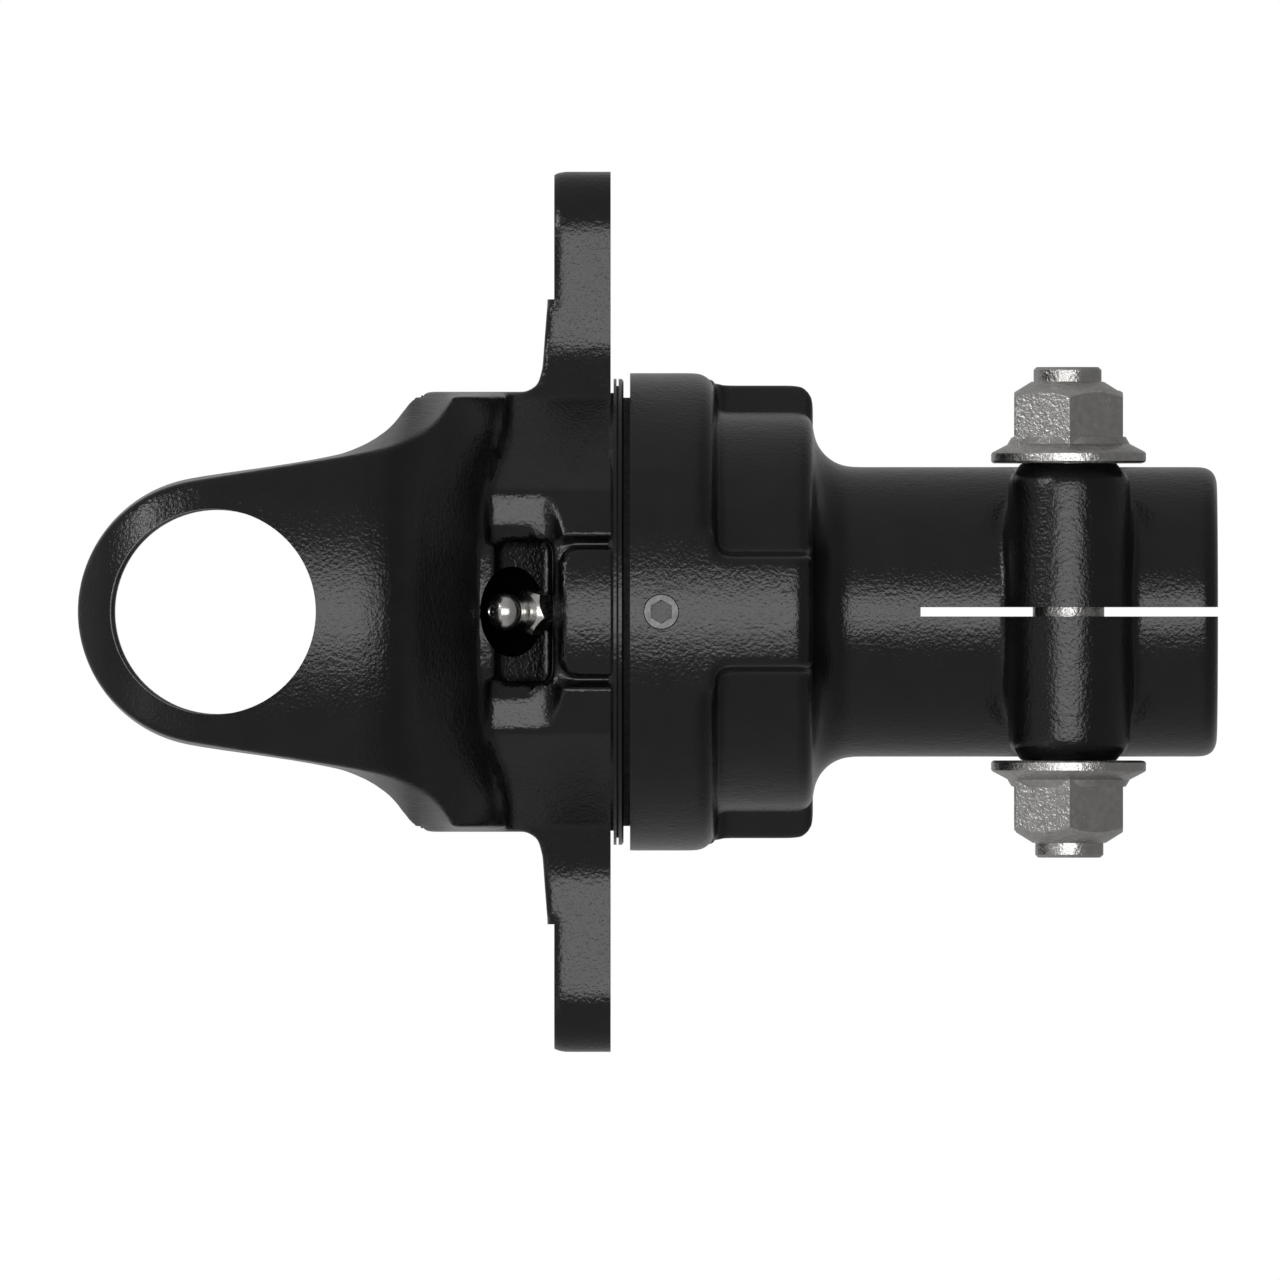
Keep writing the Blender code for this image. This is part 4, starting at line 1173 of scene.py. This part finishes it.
def make_check_spring():
    """The spring under the check ball."""
    low, high = -7.3 * MM, -1.0 * MM
    coil, wire = 0.85 * MM, 0.2 * MM
    made = compression_spring("grease_check_coil", low, high, coil, wire, 6, fitting_axis())
    finish_piece(made, "yoke", "spring_steel", "grease_check_spring", sharp=60)
    foot = fitting_axis() @ Vector((0, 0, low))
    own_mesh(made)


def make_pawl_springs():
    """Two springs behind each pawl, from its pocket's roof."""
    inner, outer = 32.1 * MM, 37.7 * MM
    coil, wire = 1.95 * MM, 0.35 * MM
    half_spacing = 3.1 * MM
    outward = Matrix.Rotation(math.pi / 2, 4, "X")
    for i, angle in enumerate(PAWL_ANGLES, start=1):
        turn = Matrix.Rotation(math.radians(angle), 4, "X")
        for label, side in (("a", -1), ("b", 1)):
            place = turn @ Matrix.Translation((PAWL_X + side * half_spacing, 0, 0)) @ outward
            name = f"pawl_coil_{i}_{label}"
            made = compression_spring(name, inner, outer, coil, wire, 4, place)
            shade(made, 60)
            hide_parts(f"pawl_spring_{i}_{label}")
            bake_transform(made)


def make_plug():
    """The socket screw that closes the hole where the balls are loaded."""
    back, front = -plug_high.y, -plug_low.y
    radius, chamfer = 2.98 * MM, 0.1 * MM
    profile = [
        (back, 0),
        (back, radius),
        (front - 2 * chamfer, radius),
        (front - chamfer, radius - chamfer),
        (front - chamfer, 0),
    ]
    place = Matrix.Translation((BALL_X, 0, 0)) @ Matrix.Rotation(math.pi / 2, 4, "X")
    body = turned("plug_body", profile, ALONG_Z, steps=64)
    socket = hexagon("socket", front - 1.5 * MM, front + MM, 3.6 * MM, 30)
    made = gathered("socket_plug", [combine(body, "DIFFERENCE", socket)], black_oxide, place)
    # Paint has run into the socket
    made.data.materials.append(black_paint)
    for each in made.data.polygons:
        inside = math.hypot(each.center.x - BALL_X, each.center.z) < 2.2 * MM
        each.material_index = 1 if inside and each.center.y > plug_low.y + 0.3 * MM else 0
    return finish_piece(made, "hub", "machined_steel", "ball_plug")


def make_ball_row():
    """All the balls as one piece, each in its CAD ball's place."""
    names = [name for name in frame["nodes"] if name.startswith("ball_") and name != "ball_plug"]
    bm = bmesh.new()
    for name in names:
        low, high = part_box(name)
        made = bmesh.ops.create_icosphere(bm, subdivisions=3, radius=(high.x - low.x) / 2)
        bmesh.ops.translate(bm, verts=made["verts"], vec=(low + high) / 2)
    mesh = bpy.data.meshes.new("ball_row")
    bm.to_mesh(mesh)
    bm.free()
    mesh.materials.append(nickel_plate)
    obj = new_object("ball_row_balls", mesh)
    return finish_piece(obj, "ball_row", "machined_steel", *names, sharp=60)


make_yoke()
make_hub()
make_clamp_bolt("front", -1, 1)
make_clamp_bolt("back", 1, -1)
make_grease_fitting()
make_check_spring()
make_pawl_springs()
make_plug()
make_ball_row()


# --- Stage, lights and camera


# The floor is below the camera's frame, and so small that its far side stays there
FLOOR_RADIUS = 1.8
FLOOR_CENTRE = (-0.1, 0, -0.14)
# How bright the studio is in reflections, at the left and at the right
AMBIENT_LEFT = 0.345
AMBIENT_RIGHT = 0.2
MIDDLE = (cad_box[0] + cad_box[1]) / 2
SOFTBOX_DISTANCE = 1.6
VIEW_WIDTH = 0.2181
VIEW_CENTRE = Vector((-0.0983, 0, -0.0048))


def pale_floor():
    pale, paler = (0.85, 0.85, 0.85), (0.867, 0.867, 0.867)
    made, nodes, links = new_material("pale_floor")
    shader = nodes["Principled BSDF"]
    shader.inputs["Roughness"].default_value = 0.8
    soft = noise(nodes, links, 0.2)
    links.new(two_colours(nodes, links, soft, pale, paler), shader.inputs["Base Color"])
    return made


def make_floor():
    bm = bmesh.new()
    bmesh.ops.create_circle(bm, cap_ends=True, segments=96, radius=FLOOR_RADIUS)
    bmesh.ops.translate(bm, verts=bm.verts, vec=FLOOR_CENTRE)
    mesh = bpy.data.meshes.new("floor")
    bm.to_mesh(mesh)
    bm.free()
    mesh.materials.append(pale_floor())
    floor = new_object("floor", mesh)
    floor.visible_glossy = False


def make_world():
    """White where the camera looks past the object, and a soft grey in its reflections."""
    world = bpy.data.worlds.new("studio")
    world.use_nodes = True
    nodes, links = world.node_tree.nodes, world.node_tree.links
    nodes.clear()
    seen = nodes.new("ShaderNodeBackground")
    seen.inputs["Color"].default_value = (1, 1, 1, 1)
    around = nodes.new("ShaderNodeBackground")
    around.inputs["Color"].default_value = (1, 1, 1, 1)
    direction = nodes.new("ShaderNodeTexCoord")
    split = nodes.new("ShaderNodeSeparateXYZ")
    links.new(direction.outputs["Generated"], split.inputs["Vector"])
    side = ranged(nodes, links, split.outputs["X"], AMBIENT_LEFT, AMBIENT_RIGHT, 0.1, 0.5)
    links.new(side, around.inputs["Strength"])
    path = nodes.new("ShaderNodeLightPath")
    mix = nodes.new("ShaderNodeMixShader")
    output = nodes.new("ShaderNodeOutputWorld")
    links.new(path.outputs["Is Camera Ray"], mix.inputs["Fac"])
    links.new(around.outputs["Background"], mix.inputs[1])
    links.new(seen.outputs["Background"], mix.inputs[2])
    links.new(mix.outputs["Shader"], output.inputs["Surface"])
    bpy.context.scene.world = world


def softbox(name, direction, width, height, radiance, distance=SOFTBOX_DISTANCE):
    """An area light that faces the object's middle and isn't seen by the camera."""
    light = bpy.data.lights.new(name, "AREA")
    light.shape = "RECTANGLE"
    light.size = width
    light.size_y = height
    light.energy = radiance * width * height * math.pi
    obj = new_object(name, light)
    direction = Vector(direction).normalized()
    obj.location = MIDDLE + direction * distance
    obj.rotation_mode = "QUATERNION"
    obj.rotation_quaternion = direction.to_track_quat("Z", "Y")
    obj.visible_camera = False
    return obj


def floor_light():
    """An overhead panel that lights the floor and doesn't show in the paint."""
    panel = softbox("overhead_panel", (0, 0, 1), 4.0, 4.0, 1.6, distance=2.2)
    panel.visible_glossy = False


def make_camera():
    """A long lens that faces the object's front squarely."""
    camera = bpy.data.cameras.new("camera")
    camera.sensor_width = 36
    camera.lens = 1700
    distance = VIEW_WIDTH * camera.lens / camera.sensor_width
    camera.clip_end = 2 * distance
    obj = new_object("camera", camera)
    obj.location = VIEW_CENTRE - Vector((0, distance, 0))
    obj.rotation_euler = (math.radians(90), 0, 0)
    bpy.context.scene.camera = obj


make_floor()
make_world()
softbox("front_softbox", (0, -1, 0), 1.32, 0.82, 2.8)
softbox("upper_left_softbox", (-0.664, -0.609, 0.431), 0.52, 0.52, 4.8)
softbox("lower_left_softbox", (-0.664, -0.609, -0.431), 0.62, 0.62, 0.4)
floor_light()
make_camera()
bpy.context.scene.view_settings.view_transform = "Standard"
